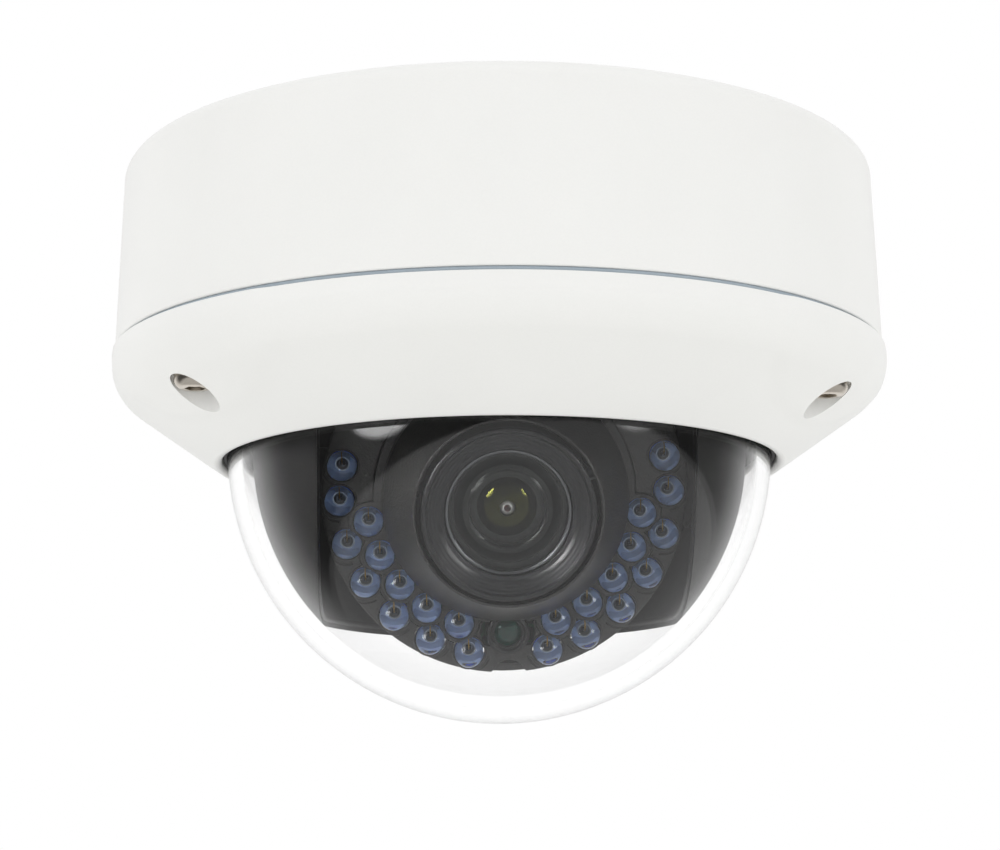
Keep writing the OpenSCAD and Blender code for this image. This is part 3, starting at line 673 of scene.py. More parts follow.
@dataclass
class Cover:
    """The white cover with three screw lobes that melt into its slope, and the bubble it holds."""

    shop: Workshop
    screw_radius: float = 61.9
    screw_angles: tuple[float, ...] = (-57.5, 62.5, 182.5)
    counterbore: float = 4.15
    counterbore_floor: float = -43.5
    columns: int = 600
    ridge_at: float = 56.0
    ridge_rise: float = 9.0
    ridge_half: float = 30.0
    ridge_soft: float = 2.6

    def even(self, outline: np.ndarray, count: int) -> np.ndarray:
        """The outline's points spread evenly along its length."""
        step = np.concatenate([[0], np.cumsum(np.linalg.norm(np.diff(outline, axis=0), axis=1))])
        wanted = np.linspace(0, step[-1], count)
        return np.column_stack([np.interp(wanted, step, outline[:, k]) for k in (0, 1)])

    def outside(self, count: int = 84) -> tuple[np.ndarray, np.ndarray]:
        """Outer outlines from the seam to the lip: between the lobes, and through a lobe's middle."""
        between = np.vstack([[69.4, -34.8], [69.66, -37.2], arc((61.75, -36.85), 8.0, -6, -55, 24), [51.5, -53.8]])
        lobe = np.vstack([arc((60.4, -36.4), 9.6, 9.6, -55.8, 40), [51.5, -53.86]])
        return self.even(between, count), self.even(lobe, count)

    def lobe_share(self, radius: np.ndarray, angle_deg: np.ndarray) -> np.ndarray:
        """How much of the lobe's outline holds at each place, from 0 to 1.

        Along a screw's direction, a place is ahead of the ridge when its distance passes
        ridge_at + ridge_rise * (sideways / ridge_half)^4; the share then climbs smoothly to 1.
        """
        share = np.zeros_like(radius)
        for screw in self.screw_angles:
            off = np.radians(angle_deg - screw)
            ahead, side = radius * np.cos(off), radius * np.sin(off)
            edge = self.ridge_at + self.ridge_rise * (side / self.ridge_half) ** 4
            soft = self.ridge_soft * (1 + 1.5 * (side / self.ridge_half) ** 2)
            t = np.clip((ahead - edge + 0.3) / soft, 0, 1)
            share = np.maximum(share, t * t * (3 - 2 * t))
        return share

    def skin(self) -> Surface:
        """Closed skin of the cover: blended outside, round lip, ledge for the bubble and hollow inside."""
        between, lobe = self.outside()
        angle = np.linspace(0, 360, self.columns, endpoint=False)
        mean = (between[:, :1] + lobe[:, :1]) / 2 * np.ones_like(angle)
        share = self.lobe_share(mean, angle[None, :] * np.ones_like(mean))[..., None]
        outer = between[:, None] * (1 - share) + lobe[:, None] * share
        lip = arc((50.9, -53.0), 1.0, 305, 180, 8)
        inner = np.vstack([lip, [[49.9, -46.8], [56.5, -46.8], [66.8, -37.3], [66.8, -34.95], [67.0, -34.75]]])
        section = np.concatenate([outer, np.repeat(inner[:, None], self.columns, axis=1)])
        turn = np.radians(angle)
        points = np.stack([section[..., 0] * np.sin(turn), -section[..., 0] * np.cos(turn), section[..., 1]], axis=2)
        return Surface.grid(points, wrap_u=True, wrap_v=True)

    def cutters(self) -> list[bpy.types.Object]:
        """Counterbores with a softly coned floor, and the shank holes above them."""
        floor, wide = self.counterbore_floor, self.counterbore
        outline = np.array([(0, -20), (2.2, -20), (2.2, floor), (wide - 0.3, floor), (wide, floor - 0.3), (wide, -70),
                            (0, -70)], float)
        cutter = lathe(outline, 96, closed=False)
        return [cutter.moved(shift(at(self.screw_radius, a))).piece("tool") for a in self.screw_angles]

    def ring(self) -> bpy.types.Object:
        """The cover: its skin, drilled for the screws."""
        piece = self.skin().piece("cover_shell")
        carve(piece, self.cutters(), smooth_below_deg=28)
        return self.shop.deliver(piece, POWDER_COAT, Body.COVER, "white_paint", "cover_ring")

    def bubble(self) -> bpy.types.Object:
        """Clear bubble: two concentric half spheres, a straight collar and a flange, turned."""
        low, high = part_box("dome_bubble")
        collar_top, pole, flange = high.z / METRES, low.z / METRES, high.x / METRES
        outer, thick = 49.0, 2.5
        centre = pole + outer
        outline = np.vstack([arc((0, centre), outer, -90, 0, 90), [outer, -46.2], [outer + 0.2, -46.0],
                             [flange - 0.2, -46.0], [flange, -45.8], [flange, collar_top + 0.2 - 0.4],
                             [flange - 0.2, collar_top], [outer - thick, collar_top],
                             arc((0, centre), outer - thick, 0, -90, 90)])
        piece = lathe(outline, 192, closed=False).piece("clear_bubble", smooth_below_deg=50)
        return self.shop.deliver(piece, CLEAR_POLYCARBONATE, Body.COVER, "clear_polycarbonate", "dome_bubble")

    def gasket(self) -> bpy.types.Object:
        """Black gasket: a flat ring under the bubble's flange, and a rounded lip down the opening."""
        outline = rounded([(49.05, -46.0), (56.0, -46.0), (56.0, -46.75, 0.1), (49.88, -46.75),
                           (49.88, -52.9, 0.3), (49.05, -52.9, 0.3)], 5)
        return self.shop.deliver(lathe(outline, 192).piece("bubble_seal"), MOULDED_RUBBER, Body.COVER,
                                 "black_rubber", "bubble_gasket")

    def screws(self) -> bpy.types.Object:
        """Domed security screws: a rounded head with a six-sided socket round a pin."""
        head, top = 3.5, self.counterbore_floor
        outline = np.vstack([[0, top + 14], [1.9, top + 14], [2.0, top + 13.7], [2.0, top], [head - 0.3, top],
                             arc((head - 0.5, top - 0.5), 0.5, 60, 0, 4), [head, top - 1.3],
                             arc((head - 1.6, top - 1.2), 1.6, -10, -62, 7), [0, top - 2.75]])
        pin_outline = np.array([(0, top - 0.8), (0.62, top - 0.8), (0.62, top - 2.1), (0.45, top - 2.3),
                                (0, top - 2.3)], float)
        parts = []
        for number, angle in enumerate(self.screw_angles):
            piece = lathe(outline, SMALL_ROUND * 2, closed=False).piece(f"cover_screw_{number}", 40)
            turn = np.radians(np.arange(6) * 60 + 17 * number)
            socket = np.column_stack([1.8 * np.cos(turn), 1.8 * np.sin(turn)])
            tool = slab(socket, top - 4.5, top - 0.9, edge=0.01).piece("tool")
            carve(piece, [tool])
            pin = lathe(pin_outline, 24, closed=False).piece("pin")
            for part in (piece, pin):
                part.data.transform(Matrix.Translation(at(self.screw_radius, angle) * METRES))
                parts.append(part)
        whole = weld(parts, "cover_security_screws")
        return self.shop.deliver(whole, STAINLESS_STEEL, Body.COVER, "stainless_screw", "cover_screws")

    def build(self) -> None:
        """Makes the cover, its bubble, gasket and screws."""
        self.ring()
        self.bubble()
        self.gasket()
        self.screws()
        self.shop.dress_node("bubble_retainer", MACHINED_ALUMINIUM)
        self.shop.dress_node("retainer_screws", ZINC_PLATE)


def weld(pieces: Sequence[bpy.types.Object], name: str) -> bpy.types.Object:
    """Puts several objects' meshes, all in place already, into one object."""
    import bmesh

    work = bmesh.new()
    for piece in pieces:
        work.from_mesh(piece.data)
        bpy.data.objects.remove(piece)
    mesh = bpy.data.meshes.new(name)
    work.to_mesh(mesh)
    work.free()
    mesh.shade_smooth()
    mesh.set_sharp_from_angle(angle=np.radians(35))
    whole = bpy.data.objects.new(name, mesh)
    bpy.context.scene.collection.objects.link(whole)
    return whole


# ---- Turntable and liner -------------------------------------------------------------------------


@dataclass
class Turntable:
    """What pans: the plate under the chassis, the yoke, and the black liner with its slot."""

    shop: Workshop
    radius: float = 44.5
    wall: float = 1.6
    centre: float = -50.9
    slot_half: float = 31.3
    slot_top: float = -27.0
    top: float = -19.0

    def shell(self) -> Surface:
        """Liner before its slot: half a hollow sphere with a straight collar, open at the top."""
        inside = self.radius - self.wall
        outline = np.vstack([arc((0, self.centre), self.radius, -90, 0, 60), [self.radius, self.top - 0.3],
                             [self.radius - 0.3, self.top], [inside + 0.3, self.top], [inside, self.top - 0.3],
                             arc((0, self.centre), inside, 0, -90, 60)])
        return lathe(outline, 192, closed=False)

    def slot_outline(self, half: float) -> np.ndarray:
        """Slot seen from above: straight sides that run out at the front, half round at the back."""
        return np.vstack([[half, -60], arc((0, 0), half, 0, 180, 72), [-half, -60]])

    def slot_edge(self) -> np.ndarray:
        """Closed path along the middle of the wall, round the slot's edge.

        In plan it follows the slot's outline. Its height is that of the sphere below the centre,
        centre - sqrt(mid^2 - x^2 - y^2), up to where the plan meets the straight collar, and from
        there it climbs the collar and crosses under the slot's top along the collar's circle.
        """
        middle, half = self.radius - self.wall / 2, self.slot_half + self.wall / 2 * 0.55
        front = -np.sqrt(middle ** 2 - half ** 2)
        back = arc((0, 0), half, 0, 180, 60)
        run = np.linspace(front, 0, 60)[:-1]
        plan = np.vstack([np.column_stack([np.full_like(run, half), run]), back,
                          np.column_stack([np.full_like(run, -half), run[::-1]])])
        depth = self.centre - np.sqrt(np.maximum(middle ** 2 - (plan ** 2).sum(1), 0))
        low = np.column_stack([plan, depth])
        corner = 3.0
        rise = np.linspace(self.centre, self.slot_top - corner, 30)[1:]
        left = np.column_stack([np.full_like(rise, -half), np.full_like(rise, front), rise])
        end = np.arctan2(half, -front)
        cross = np.linspace(-end, end, 60)
        into_corner = np.clip(np.abs(cross) * middle - (end * middle - corner), 0, corner)
        lift = self.slot_top - corner * into_corner ** 2 / corner ** 2
        over = np.column_stack([middle * np.sin(cross), -middle * np.cos(cross), lift])
        right = np.column_stack([np.full_like(rise, half), np.full_like(rise, front), rise])[::-1]
        return np.vstack([low, left, over[1:-1], right[:-1]])

    def liner(self) -> bpy.types.Object:
        """Liner: the shell less its slot, with a round bead along the slot's edge."""
        piece = self.shell().piece("black_liner")
        outline = self.slot_outline(self.slot_half)
        carve(piece, [slab(outline, -130, self.slot_top, edge=0.01).piece("tool")])
        bead = tube(self.slot_edge(), self.wall / 2, 14, closed=True).piece("bead")
        whole = weld([piece, bead], "slotted_liner")
        self.shop.deliver(whole, SATIN_ABS, Body.TURNTABLE, "gloss_black_abs", "inner_liner")
        tabs = [slab(rounded([(x0, y - 3.5, 0.8), (x1, y - 3.5, 0.8), (x1, y + 3.5, 0.8), (x0, y + 3.5, 0.8)], 5),
                     -20.6, -19.0) for x0, x1 in ((25.0, 41.0), (-41.0, -25.0)) for y in (-18.0, 18.0)]
        ribs = Surface.joined(tabs).piece("liner_tabs")
        return self.shop.deliver(ribs, SATIN_ABS, Body.TURNTABLE, "gloss_black_abs")

    def build(self) -> None:
        """Makes the liner and dresses what turns with it."""
        self.liner()
        for node in ("pan_turntable", "yoke_left", "yoke_right"):
            self.shop.dress_node(node, GLASS_FILLED_NYLON)
        for node in ("pan_retainer", "yoke_screws", "liner_screws"):
            self.shop.dress_node(node, ZINC_PLATE)


@dataclass
class Cradle:
    """The ring that tilts, and its lock screws."""

    shop: Workshop

    def build(self) -> None:
        """Dresses the cradle's nodes."""
        self.shop.dress_node("tilt_cradle", GLASS_FILLED_NYLON)
        self.shop.dress_node("tilt_lock_screws", ZINC_PLATE)
        self.shop.dress_node("head_lock_screw", ZINC_PLATE)


# ---- Head ----------------------------------------------------------------------------------------


@dataclass
class LampPlate:
    """The textured plate with 24 infrared lamps, its light sensor, and the cone round the lens."""

    shop: Workshop
    place: np.ndarray
    radius: float = 31.1
    front: float = 20.8
    back: float = 19.0
    lamp_radius: float = 2.5
    lamp_base: float = 15.2
    lamp_dome: float = 21.3
    outer_row: float = 28.1
    inner_row: float = 23.64
    outer_angles: tuple[float, ...] = (14.0, 28.4, 43.8, 59.3, 74.4, 89.9, 102.3)
    inner_angles: tuple[float, ...] = (20.7, 35.8, 50.8, 65.8, 80.8)
    sensor_row: float = 24.1
    notch_radius: float = 3.05

    def lamp_places(self) -> list[tuple[np.ndarray, bool]]:
        """Every lamp's place on the plate, and whether it is in the outer row."""
        outer = [(at(self.outer_row, side * a), True) for side in (-1, 1) for a in self.outer_angles]
        inner = [(at(self.inner_row, side * a), False) for side in (-1, 1) for a in self.inner_angles]
        return outer + inner

    def plate_outline(self) -> np.ndarray:
        """The plate's rim as a circle, bitten by the half-round notch straight below the lens.

        Within the notch, the rim follows the near side of a circle about a point just past the rim:
        r = d cos a - sqrt(n^2 - d^2 sin^2 a), for the notch's radius n and its centre's distance d.
        """
        angle = np.radians(np.linspace(-180, 180, 900, endpoint=False))
        distance = self.radius + 0.9
        inside = self.notch_radius ** 2 - (distance * np.sin(angle)) ** 2
        near = distance * np.cos(angle) - np.sqrt(np.maximum(inside, 0))
        bitten = (inside > 0) & (np.cos(angle) > 0)
        radius = np.where(bitten, np.minimum(near, self.radius), self.radius)
        return np.column_stack([radius * np.sin(angle), -radius * np.cos(angle)])

    def flange_outline(self, grow: float) -> np.ndarray:
        """Outline of the cone's flange: a circle with a scallop round each inner lamp.

        Along a ray at angle d from a lamp's own, the scallop of radius s reaches
        R cos d + sqrt(s^2 - R^2 sin^2 d), and the outline is the furthest of all of these.
        """
        angle = np.linspace(-180, 180, 1440, endpoint=False)
        reach = np.full_like(angle, 22.4 + grow)
        scallop = 3.4 + grow
        for lamp in [s * a for s in (-1, 1) for a in self.inner_angles]:
            off = np.radians(angle - lamp)
            room = scallop ** 2 - (self.inner_row * np.sin(off)) ** 2
            far = self.inner_row * np.cos(off) + np.sqrt(np.maximum(room, 0))
            reach = np.where((room > 0) & (np.cos(off) > 0), np.maximum(reach, far), reach)
        turn = np.radians(angle)
        return np.column_stack([reach * np.sin(turn), -reach * np.cos(turn)])

    def hole(self, radius: float, place: np.ndarray) -> Surface:
        """A round drill for a hole through the plate."""
        outline = np.array([(0, 10), (radius, 10), (radius, 30), (0, 30)], float)
        return lathe(outline, SMALL_ROUND, closed=False).moved(shift(place))

    def key_slot(self, place: np.ndarray, side: int) -> Surface:
        """A short curved slot beside an outer lamp, as a bent bar that is cut out."""
        bearing = np.degrees(np.arctan2(place[1], place[0]))
        bend = arc(place[:2], self.lamp_radius + 1.0, bearing + side * 35, bearing + side * 88, 10)
        return tube(np.column_stack([bend, np.full(len(bend), self.front)]), 0.26, 8)

    def faceplate(self) -> bpy.types.Object:
        """Plate with a rim behind it, pierced for lamps and sensor, and grooved round the flange."""
        sheet = slab(self.plate_outline(), self.back, self.front, edge=0.3).piece("lamp_plate")
        tools = [Surface.joined([self.hole(self.lamp_radius + 0.18, p) for p, _ in self.lamp_places()]).piece("tool"),
                 self.hole(17.0, np.zeros(3)).piece("tool"),
                 slab(self.flange_outline(0.22), self.front - 0.8, self.front + 5, edge=0.01).piece("tool")]
        wings = np.linspace(0, 2 * np.pi, 96, endpoint=False)
        pocket = np.column_stack([4.75 * np.cos(wings), np.clip(4.75 * np.sin(wings), -2.3, 2.3) - self.sensor_row])
        tools.append(slab(pocket, 10, 30, edge=0.01).piece("tool"))
        tools.append(self.hole(3.72, at(self.sensor_row, 0)).piece("tool"))
        slots = [self.key_slot(p, 1 if p[0] < 0 else -1) for p, outer in self.lamp_places() if outer]
        tools.append(Surface.joined(slots).piece("tool"))
        carve(sheet, tools)
        skirt = lathe(rounded([(self.radius - 1.3, 13.6, 0.2), (self.radius - 0.15, 13.6, 0.3),
                               (self.radius - 0.05, self.back + 0.8), (self.radius - 1.3, self.back + 0.8)], 4), 180)
        inner, outside = self.lamp_radius + 0.14, self.lamp_radius + 0.5
        foot, lip = self.front - 0.3, self.front + 0.22
        section = rounded([(inner, foot), (outside, foot), (outside, lip, 0.14), (inner, lip, 0.14)], 4)
        collar = lathe(section, SMALL_ROUND)
        collars = [collar.moved(shift(p)) for p, outer in self.lamp_places() if outer]
        trim = Surface.joined([skirt, *collars]).piece("plate_trim")
        plate = weld([sheet, trim], "lamp_faceplate")
        return self.put(plate, SPARK_TEXTURED_ABS, "textured_black_abs", "led_faceplate")

    def put(self, piece: bpy.types.Object, finish: Finish, slot: str, *nodes: str) -> bpy.types.Object:
        """Carries a piece from the lens's own frame to its place and delivers it."""
        to_metres = Matrix([[*row[:3], row[3] * METRES] for row in self.place[:3].tolist()] + [[0, 0, 0, 1]])
        piece.data.transform(to_metres)
        return self.shop.deliver(piece, finish, Body.HEAD, slot, *nodes)

    def shroud(self) -> bpy.types.Object:
        """Cone round the lens, with its scalloped flange sunk in the plate."""
        cone = lathe(rounded([(19.6, 20.6), (20.9, 20.6), (20.9, 25.0, 0.35), (15.75, 36.1, 0.3), (15.25, 36.1, 0.2),
                              (15.25, 35.2, 0.3), (19.6, 24.6, 0.4)], 6), 192).piece("cone")
        flange = slab(self.flange_outline(0.0), self.front - 0.75, self.front + 0.35, edge=0.22).piece("flange")
        drills = [self.hole(self.lamp_radius + 0.18, p) for p, outer in self.lamp_places() if not outer]
        middle = self.hole(19.7, np.zeros(3))
        sensor = self.hole(3.72, at(self.sensor_row, 0))
        carve(flange, [Surface.joined(drills).piece("tool"), middle.piece("tool"), sensor.piece("tool")])
        return self.put(weld([cone, flange], "lens_cone"), SPARK_TEXTURED_ABS, "textured_black_abs", "lens_shroud")

    def lamps(self) -> bpy.types.Object:
        """Lamp bodies: a flange, a straight barrel and a half-round end, turned as one outline."""
        r, base, dome = self.lamp_radius, self.lamp_base, self.lamp_dome
        outline = np.vstack([[0, base], rounded_edge(2.6, base, base + 1.0), [r, base + 1.05], [r - 0.02, dome],
                             arc((0, dome), r - 0.02, 0, 90, 16)])
        body = lathe(outline, SMALL_ROUND, closed=False)
        whole = Surface.joined([body.moved(shift(p)) for p, _ in self.lamp_places()]).piece("lamp_bodies")
        return self.put(whole, LAMP_EPOXY, "blue_epoxy", "led_lamps")

    def block(self, half_x: float, half_y: float, edge: float) -> np.ndarray:
        """Outline of a small oblong about the origin, with rounded corners."""
        return rounded([(-half_x, -half_y, edge), (half_x, -half_y, edge), (half_x, half_y, edge),
                        (-half_x, half_y, edge)], 3)

    def lamp_insides(self) -> None:
        """Cup, chip, second post and wire of each lamp, over the silvered floor and blue rim of its body."""
        base, top = self.lamp_base + 0.15, self.lamp_dome - 1.1
        cup = lathe(np.array([(0, top - 0.75), (0.3, top - 0.7), (0.55, top - 0.3), (0.65, top - 0.3), (0.5, top - 0.9),
                              (0.4, top - 1.3), (0.4, base), (0, base)], float), 24, closed=False)
        post = slab(self.block(0.25, 0.3, 0.08), base, top + 0.1, edge=0.05)
        turn = np.linspace(0, np.pi, 14)
        loop = np.column_stack([np.zeros(14), 0.85 - 0.85 * np.cos(turn), top - 0.3 + 0.8 * np.sin(turn)])
        wire = tube(loop, 0.085, 6)
        chip = slab(self.block(0.22, 0.22, 0.03), top - 0.62, top - 0.4, edge=0.02)
        floor = lathe(np.array([(0, top - 1.7), (1.3, top - 1.7), (1.3, top - 0.7), (1.2, top - 0.7), (0.9, top - 1.2),
                                (0, top - 1.3)], float), 32, closed=False)
        rim = lathe(rounded([(1.32, top - 1.7), (2.36, top - 1.7), (2.36, top - 0.3, 0.05), (2.25, top - 0.3, 0.05),
                             (1.7, top - 1.0), (1.32, top - 1.0)], 3), 32)
        sets = (("lamp_cups", ZINC_PLATE, "zinc_sheet", Surface.joined([cup, post.moved(shift((0, 1.7, 0)))])),
                ("lamp_wires", BRASS_PLATE, "brass_plating", wire), ("lamp_chips", CHIP_EPOXY, "chip_black", chip),
                ("lamp_floors", LAMP_FLOOR, "blue_epoxy", floor), ("lamp_rims", LAMP_RIM, "blue_epoxy", rim))
        for name, finish, slot, one in sets:
            self.put(Surface.joined([one.moved(shift(p)) for p, _ in self.lamp_places()]).piece(name), finish, slot)

    def light_sensor(self) -> None:
        """Domed green filter in a stepped black collar."""
        place = shift(at(self.sensor_row, 0))
        collar = lathe(rounded([(2.35, 15.2), (3.68, 15.2), (3.68, 21.7, 0.35), (3.0, 21.9, 0.3), (2.75, 21.2, 0.2),
                                (2.35, 21.2, 0.2)], 5), 96).moved(place).piece("sensor_collar")
        lens = lathe(np.vstack([[0, 16.0], [2.35, 16.0], [2.35, 20.6], arc((0, 18.25), 3.3, 45, 90, 14)]), 72,
                     closed=False).moved(place).piece("sensor_lens")
        cell = lathe(rounded([(0, 15.4), (1.6, 15.4), (1.6, 15.9, 0.1), (0, 15.9)], 3), 32).moved(place)
        self.put(collar, GLASS_FILLED_NYLON, "black_rubber", "light_sensor_collar")
        self.put(lens, GREEN_FILTER, "green_filter", "light_sensor_lens")
        self.put(cell.piece("sensor_cell"), BRASS_PLATE, "brass_plating")

    def build(self) -> None:
        """Makes the plate, the cone, the lamps and the sensor."""
        self.faceplate()
        self.shroud()
        self.lamps()
        self.lamp_insides()
        self.light_sensor()


def rounded_edge(radius: float, low: float, high: float, edge: float = 0.15) -> np.ndarray:
    """The outside of a disc with softly rounded edges."""
    return np.vstack([arc((radius - edge, low + edge), edge, -90, 0, 3),
                      arc((radius - edge, high - edge), edge, 0, 90, 3)])


@dataclass
class FrontGroup:
    """The lens's moving front: barrel, bright ring, front glass, the cell behind it and the iris."""

    shop: Workshop
    place: np.ndarray

    def put(self, surface: Surface, name: str, finish: Finish, slot: str, *nodes: str) -> bpy.types.Object:
        """Carries a surface from the lens's own frame to its place and delivers it."""
        return self.shop.deliver(surface.moved(self.place).piece(name), finish, Body.FRONT_GROUP, slot, *nodes)

    def barrel(self) -> None:
        """Barrel with a stepped mouth: a fine-ribbed funnel between its rim and the bright ring."""
        ribs = np.array([(13.35 - 0.3 * k, 36.85 - 0.09 * k + 0.09 * (k % 2), 0.03) for k in range(7)])
        outline = rounded([(11.05, 18.8, 0.2), (12.8, 18.8, 0.3), (12.8, 27.9, 0.2), (14.35, 29.0, 0.4),
                           (14.4, 37.45, 0.35), (13.6, 37.45, 0.15), (13.45, 36.95, 0.1), *map(tuple, ribs),
                           (11.2, 36.0, 0.15), (10.62, 35.9, 0.1), (10.62, 34.6), (10.0, 34.6), (10.0, 30.0),
                           (5.0, 30.0), (5.0, 28.65, 0.1), (11.05, 28.65, 0.1)], 4)
        self.put(lathe(outline, 160), "lens_front_barrel", BLACK_ANODISED, "black_anodised", "front_barrel")

    def bright_ring(self) -> None:
        """Thin threaded ring that holds the front glass, its edge polished by the tool."""
        outline = rounded([(9.75, 34.62, 0.1), (10.6, 34.62), (10.6, 35.15, 0.12), (10.28, 35.3, 0.1),
                           (9.95, 35.15, 0.12)], 4)
        self.put(lathe(outline, 160), "lens_bright_ring", RING_EDGE, "bare_aluminium", "lens_trim_ring")

    def glasses(self) -> None:
        """Front glass, a meniscus between two spheres, and the smaller one in the cell."""
        front = np.vstack([arc((0, 13.5), 23.1, 90, 65.6, 24), [9.55, 34.5], [9.95, 34.45], [9.95, 31.6], [8.3, 31.6],
                           arc((0, 20.2), 14.0, 54.5, 90, 24)])
        self.put(lathe(front, 128, closed=False), "front_glass", COATED_GLASS, "coated_glass", "front_lens")
        second = np.vstack([[1.3, 30.6], arc((0, 23.9), 7.9, 80.4, 41.0, 16), [5.96, 28.9], [1.3, 28.9]])
        self.put(lathe(second, 96), "second_glass", OLIVE_COATING, "coated_glass")

    def cell(self) -> None:
        """Matt black cell behind the front glass: stepped rings that funnel down to the iris."""
        outline = rounded([(6.2, 30.02), (9.98, 30.02), (9.98, 31.3, 0.1), (8.9, 31.3, 0.1), (8.7, 31.0, 0.1),
                           (8.3, 31.3, 0.1), (7.3, 31.95, 0.15), (6.6, 32.1, 0.2), (6.2, 31.8, 0.1)], 4)
        self.put(lathe(outline, 128), "inner_cell", BLACK_ANODISED, "black_anodised", "inner_lens_cell")
        iris = rounded([(1.3, 28.9, 0.05), (1.45, 28.7), (4.98, 28.65), (4.98, 28.85), (2.6, 28.85)], 3)
        self.put(lathe(iris, 96), "iris", BLACK_ANODISED, "black_anodised", "iris_plate")

    def deep_glass(self) -> None:
        """The rear element seen in the iris: a dome painted near white as a painted highlight for the glint in the
        pupil, with a dark red middle.
        """
        dome = np.vstack([arc((0, 30.3), 1.27, 64, 10, 10), [1.25, 29.9], [0.5, 29.9]])
        core = np.vstack([arc((0, 30.3), 1.3, 90, 63, 8), [0.56, 30.4], [0, 30.4]])
        # painted highlight: this near-white dome stands in for the glint in the pupil
        self.put(lathe(dome, 64), "painted_glint_dome", PAINTED_GLINT, "coated_glass")
        self.put(lathe(core, 48, closed=False), "reflex_core", REFLEX_CORE, "red_filter")

    def build(self) -> None:
        """Makes the lens's front."""
        self.barrel()
        self.bright_ring()
        self.glasses()
        self.cell()
        self.deep_glass()


@dataclass
class HeadInside:
    """The drum, boards, lens body and rings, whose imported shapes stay."""

    shop: Workshop

    def build(self) -> None:
        """Dresses the head's inner nodes."""
        finishes = {
            GLASS_FILLED_NYLON: ("head_carrier", "lens_mount", "filter_slider"),
            ZINC_PLATE: ("head_retainer", "faceplate_screws", "sensor_screws", "zoom_lock_screw", "focus_lock_screw"),
            GREEN_BOARD: ("led_board", "sensor_board"),
            SILICON: ("image_sensor",),
            ENAMELLED_COPPER: ("filter_coil",),
            BLACK_ANODISED: ("lens_tube", "zoom_ring", "focus_ring", "rear_lens_cell"),
            RED_FILTER: ("filter_glass",),
        }
        for finish, nodes in finishes.items():
            for node in nodes:
                self.shop.dress_node(node, finish)


# ---- Studio --------------------------------------------------------------------------------------


@dataclass(frozen=True)
class Glow:
    """A round patch of brightness in the surroundings, about an axis.

    It begins where the cosine of the angle from the axis is start, and has its level within full.
    """

    axis: tuple[float, float, float]
    start: float
    full: float
    level: float


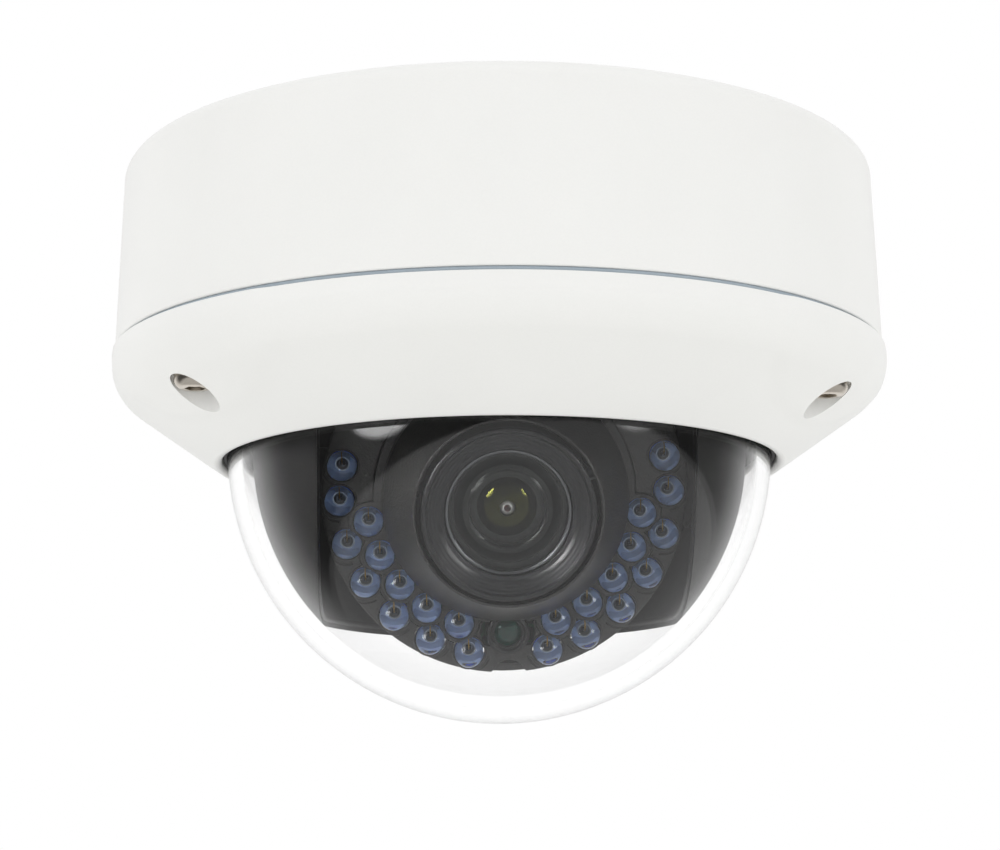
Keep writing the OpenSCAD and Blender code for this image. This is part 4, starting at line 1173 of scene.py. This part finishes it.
@dataclass
class Studio:
    """Pale floor, white surroundings with soft lights, and the camera."""

    camera_at: tuple[float, float, float] = (0.148, -411.2, -124.0)
    camera_up_deg: float = 10.75
    camera_roll: float = -0.0062
    camera_round_deg: float = -2.5
    lens_mm: float = 82.78
    floor: float = -900.0
    floor_half: float = 4000.0
    room: float = 1.14
    mirrored: tuple[Glow, ...] = (
        Glow((0.0, 0.0, 1.0), -1.01, -1.0, 0.03),
        Glow((0.189, -0.335, -0.923), 0.262, 0.285, 0.5),
        Glow((0.0, 1.0, 0.0), 0.1, 0.7, 0.86))
    inside: tuple[Glow, ...] = (
        Glow((0.0, 0.0, 1.0), -1.01, -1.0, 0.2),
        Glow((0.0, 1.0, 0.0), 0.15, 0.95, 1.15),
        Glow((0.189, -0.335, -0.923), 0.262, 0.285, 0.6),
        Glow((-0.76, -0.56, 0.33), 0.93, 0.965, 18.0),
        Glow((0.78, -0.54, 0.33), 0.95, 0.98, 8.0))

    def camera(self) -> None:
        """Camera below and in front of the object, turned a little about the vertical."""
        data = bpy.data.cameras.new("camera")
        data.sensor_width, data.lens = 36.0, self.lens_mm
        data.clip_start = 0.01
        camera = bpy.data.objects.new("camera", data)
        bpy.context.scene.collection.objects.link(camera)
        round_axis = Matrix.Rotation(np.radians(self.camera_round_deg), 4, "Z")
        place = Matrix.Translation(Vector(self.camera_at) * METRES)
        look = Matrix.Rotation(np.radians(90 + self.camera_up_deg), 4, "X")
        camera.matrix_world = round_axis @ place @ look @ Matrix.Rotation(self.camera_roll, 4, "Z")
        bpy.context.scene.camera = camera

    def glow(self, tree: bpy.types.NodeTree, direction: Any, patch: Glow) -> Any:
        """Socket with a patch's brightness in the direction that another socket gives."""
        near = add_node(tree, "ShaderNodeVectorMath", {"operation": "DOT_PRODUCT", 1: patch.axis}, {0: direction})
        return add_node(tree, "ShaderNodeMapRange", {"interpolation_type": "SMOOTHSTEP", "From Min": patch.start,
                                                     "From Max": patch.full, "To Min": 0.0, "To Max": patch.level},
                        {"Value": near.outputs["Value"]}).outputs[0]

    def brightest(self, tree: bpy.types.NodeTree, glows: Sequence[Any]) -> Any:
        """Socket with the brightest of several patches in each direction."""
        top = glows[0]
        for other in glows[1:]:
            top = add_node(tree, "ShaderNodeMath", {"operation": "MAXIMUM"}, {0: top, 1: other}).outputs[0]
        return top

    def surroundings(self) -> None:
        """White room, with its own patches for what surfaces mirror and for what the bubble lets in."""
        world = bpy.data.worlds.new("studio")
        bpy.context.scene.world = world
        world.use_nodes = True
        tree = world.node_tree
        tree.nodes.clear()
        way = add_node(tree, "ShaderNodeTexCoord").outputs["Generated"]
        mirrored = self.brightest(tree, [self.glow(tree, way, patch) for patch in self.mirrored])
        inside = self.brightest(tree, [self.glow(tree, way, patch) for patch in self.inside])
        path = add_node(tree, "ShaderNodeLightPath")
        glossy = add_node(tree, "ShaderNodeMix", {"data_type": "FLOAT", 2: self.room},
                          {0: path.outputs["Is Glossy Ray"], 3: mirrored})
        passed = add_node(tree, "ShaderNodeMix", {"data_type": "FLOAT"},
                          {0: path.outputs["Is Transmission Ray"], 2: glossy.outputs[0], 3: inside})
        seen = add_node(tree, "ShaderNodeMix", {"data_type": "FLOAT", 3: 1.0},
                        {0: path.outputs["Is Camera Ray"], 2: passed.outputs[0]})
        light = add_node(tree, "ShaderNodeBackground", {"Color": (1, 1, 1, 1)}, {"Strength": seen.outputs[0]})
        add_node(tree, "ShaderNodeOutputWorld", links={0: light.outputs[0]})

    def ground(self) -> None:
        """A wide pale floor, far below, that lights the object but is not mirrored in the bubble."""
        half = self.floor_half
        corners = np.array([[[-half, -half, self.floor], [half, -half, self.floor]],
                            [[-half, half, self.floor], [half, half, self.floor]]], float)
        floor = Surface.grid(corners).piece("floor")
        floor.visible_glossy = floor.visible_transmission = False
        floor.data.materials.append(PALE_FLOOR.make())

    def build(self) -> None:
        """Sets the scene up."""
        self.camera()
        self.surroundings()
        self.ground()
        bpy.context.scene.view_settings.view_transform = "Standard"


def main() -> None:
    """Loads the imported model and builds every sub-assembly round it."""
    logging.basicConfig(level=logging.INFO, format="%(message)s")
    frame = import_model()
    shop = Workshop(frame)
    Studio().build()
    place = LensAxes(frame).matrix()
    for part in (Base(shop), Cover(shop), Turntable(shop), Cradle(shop), LampPlate(shop, place),
                 FrontGroup(shop, place), HeadInside(shop)):
        part.build()
        LOG.info("built %s", type(part).__name__)


if __name__ == "__main__":
    main()
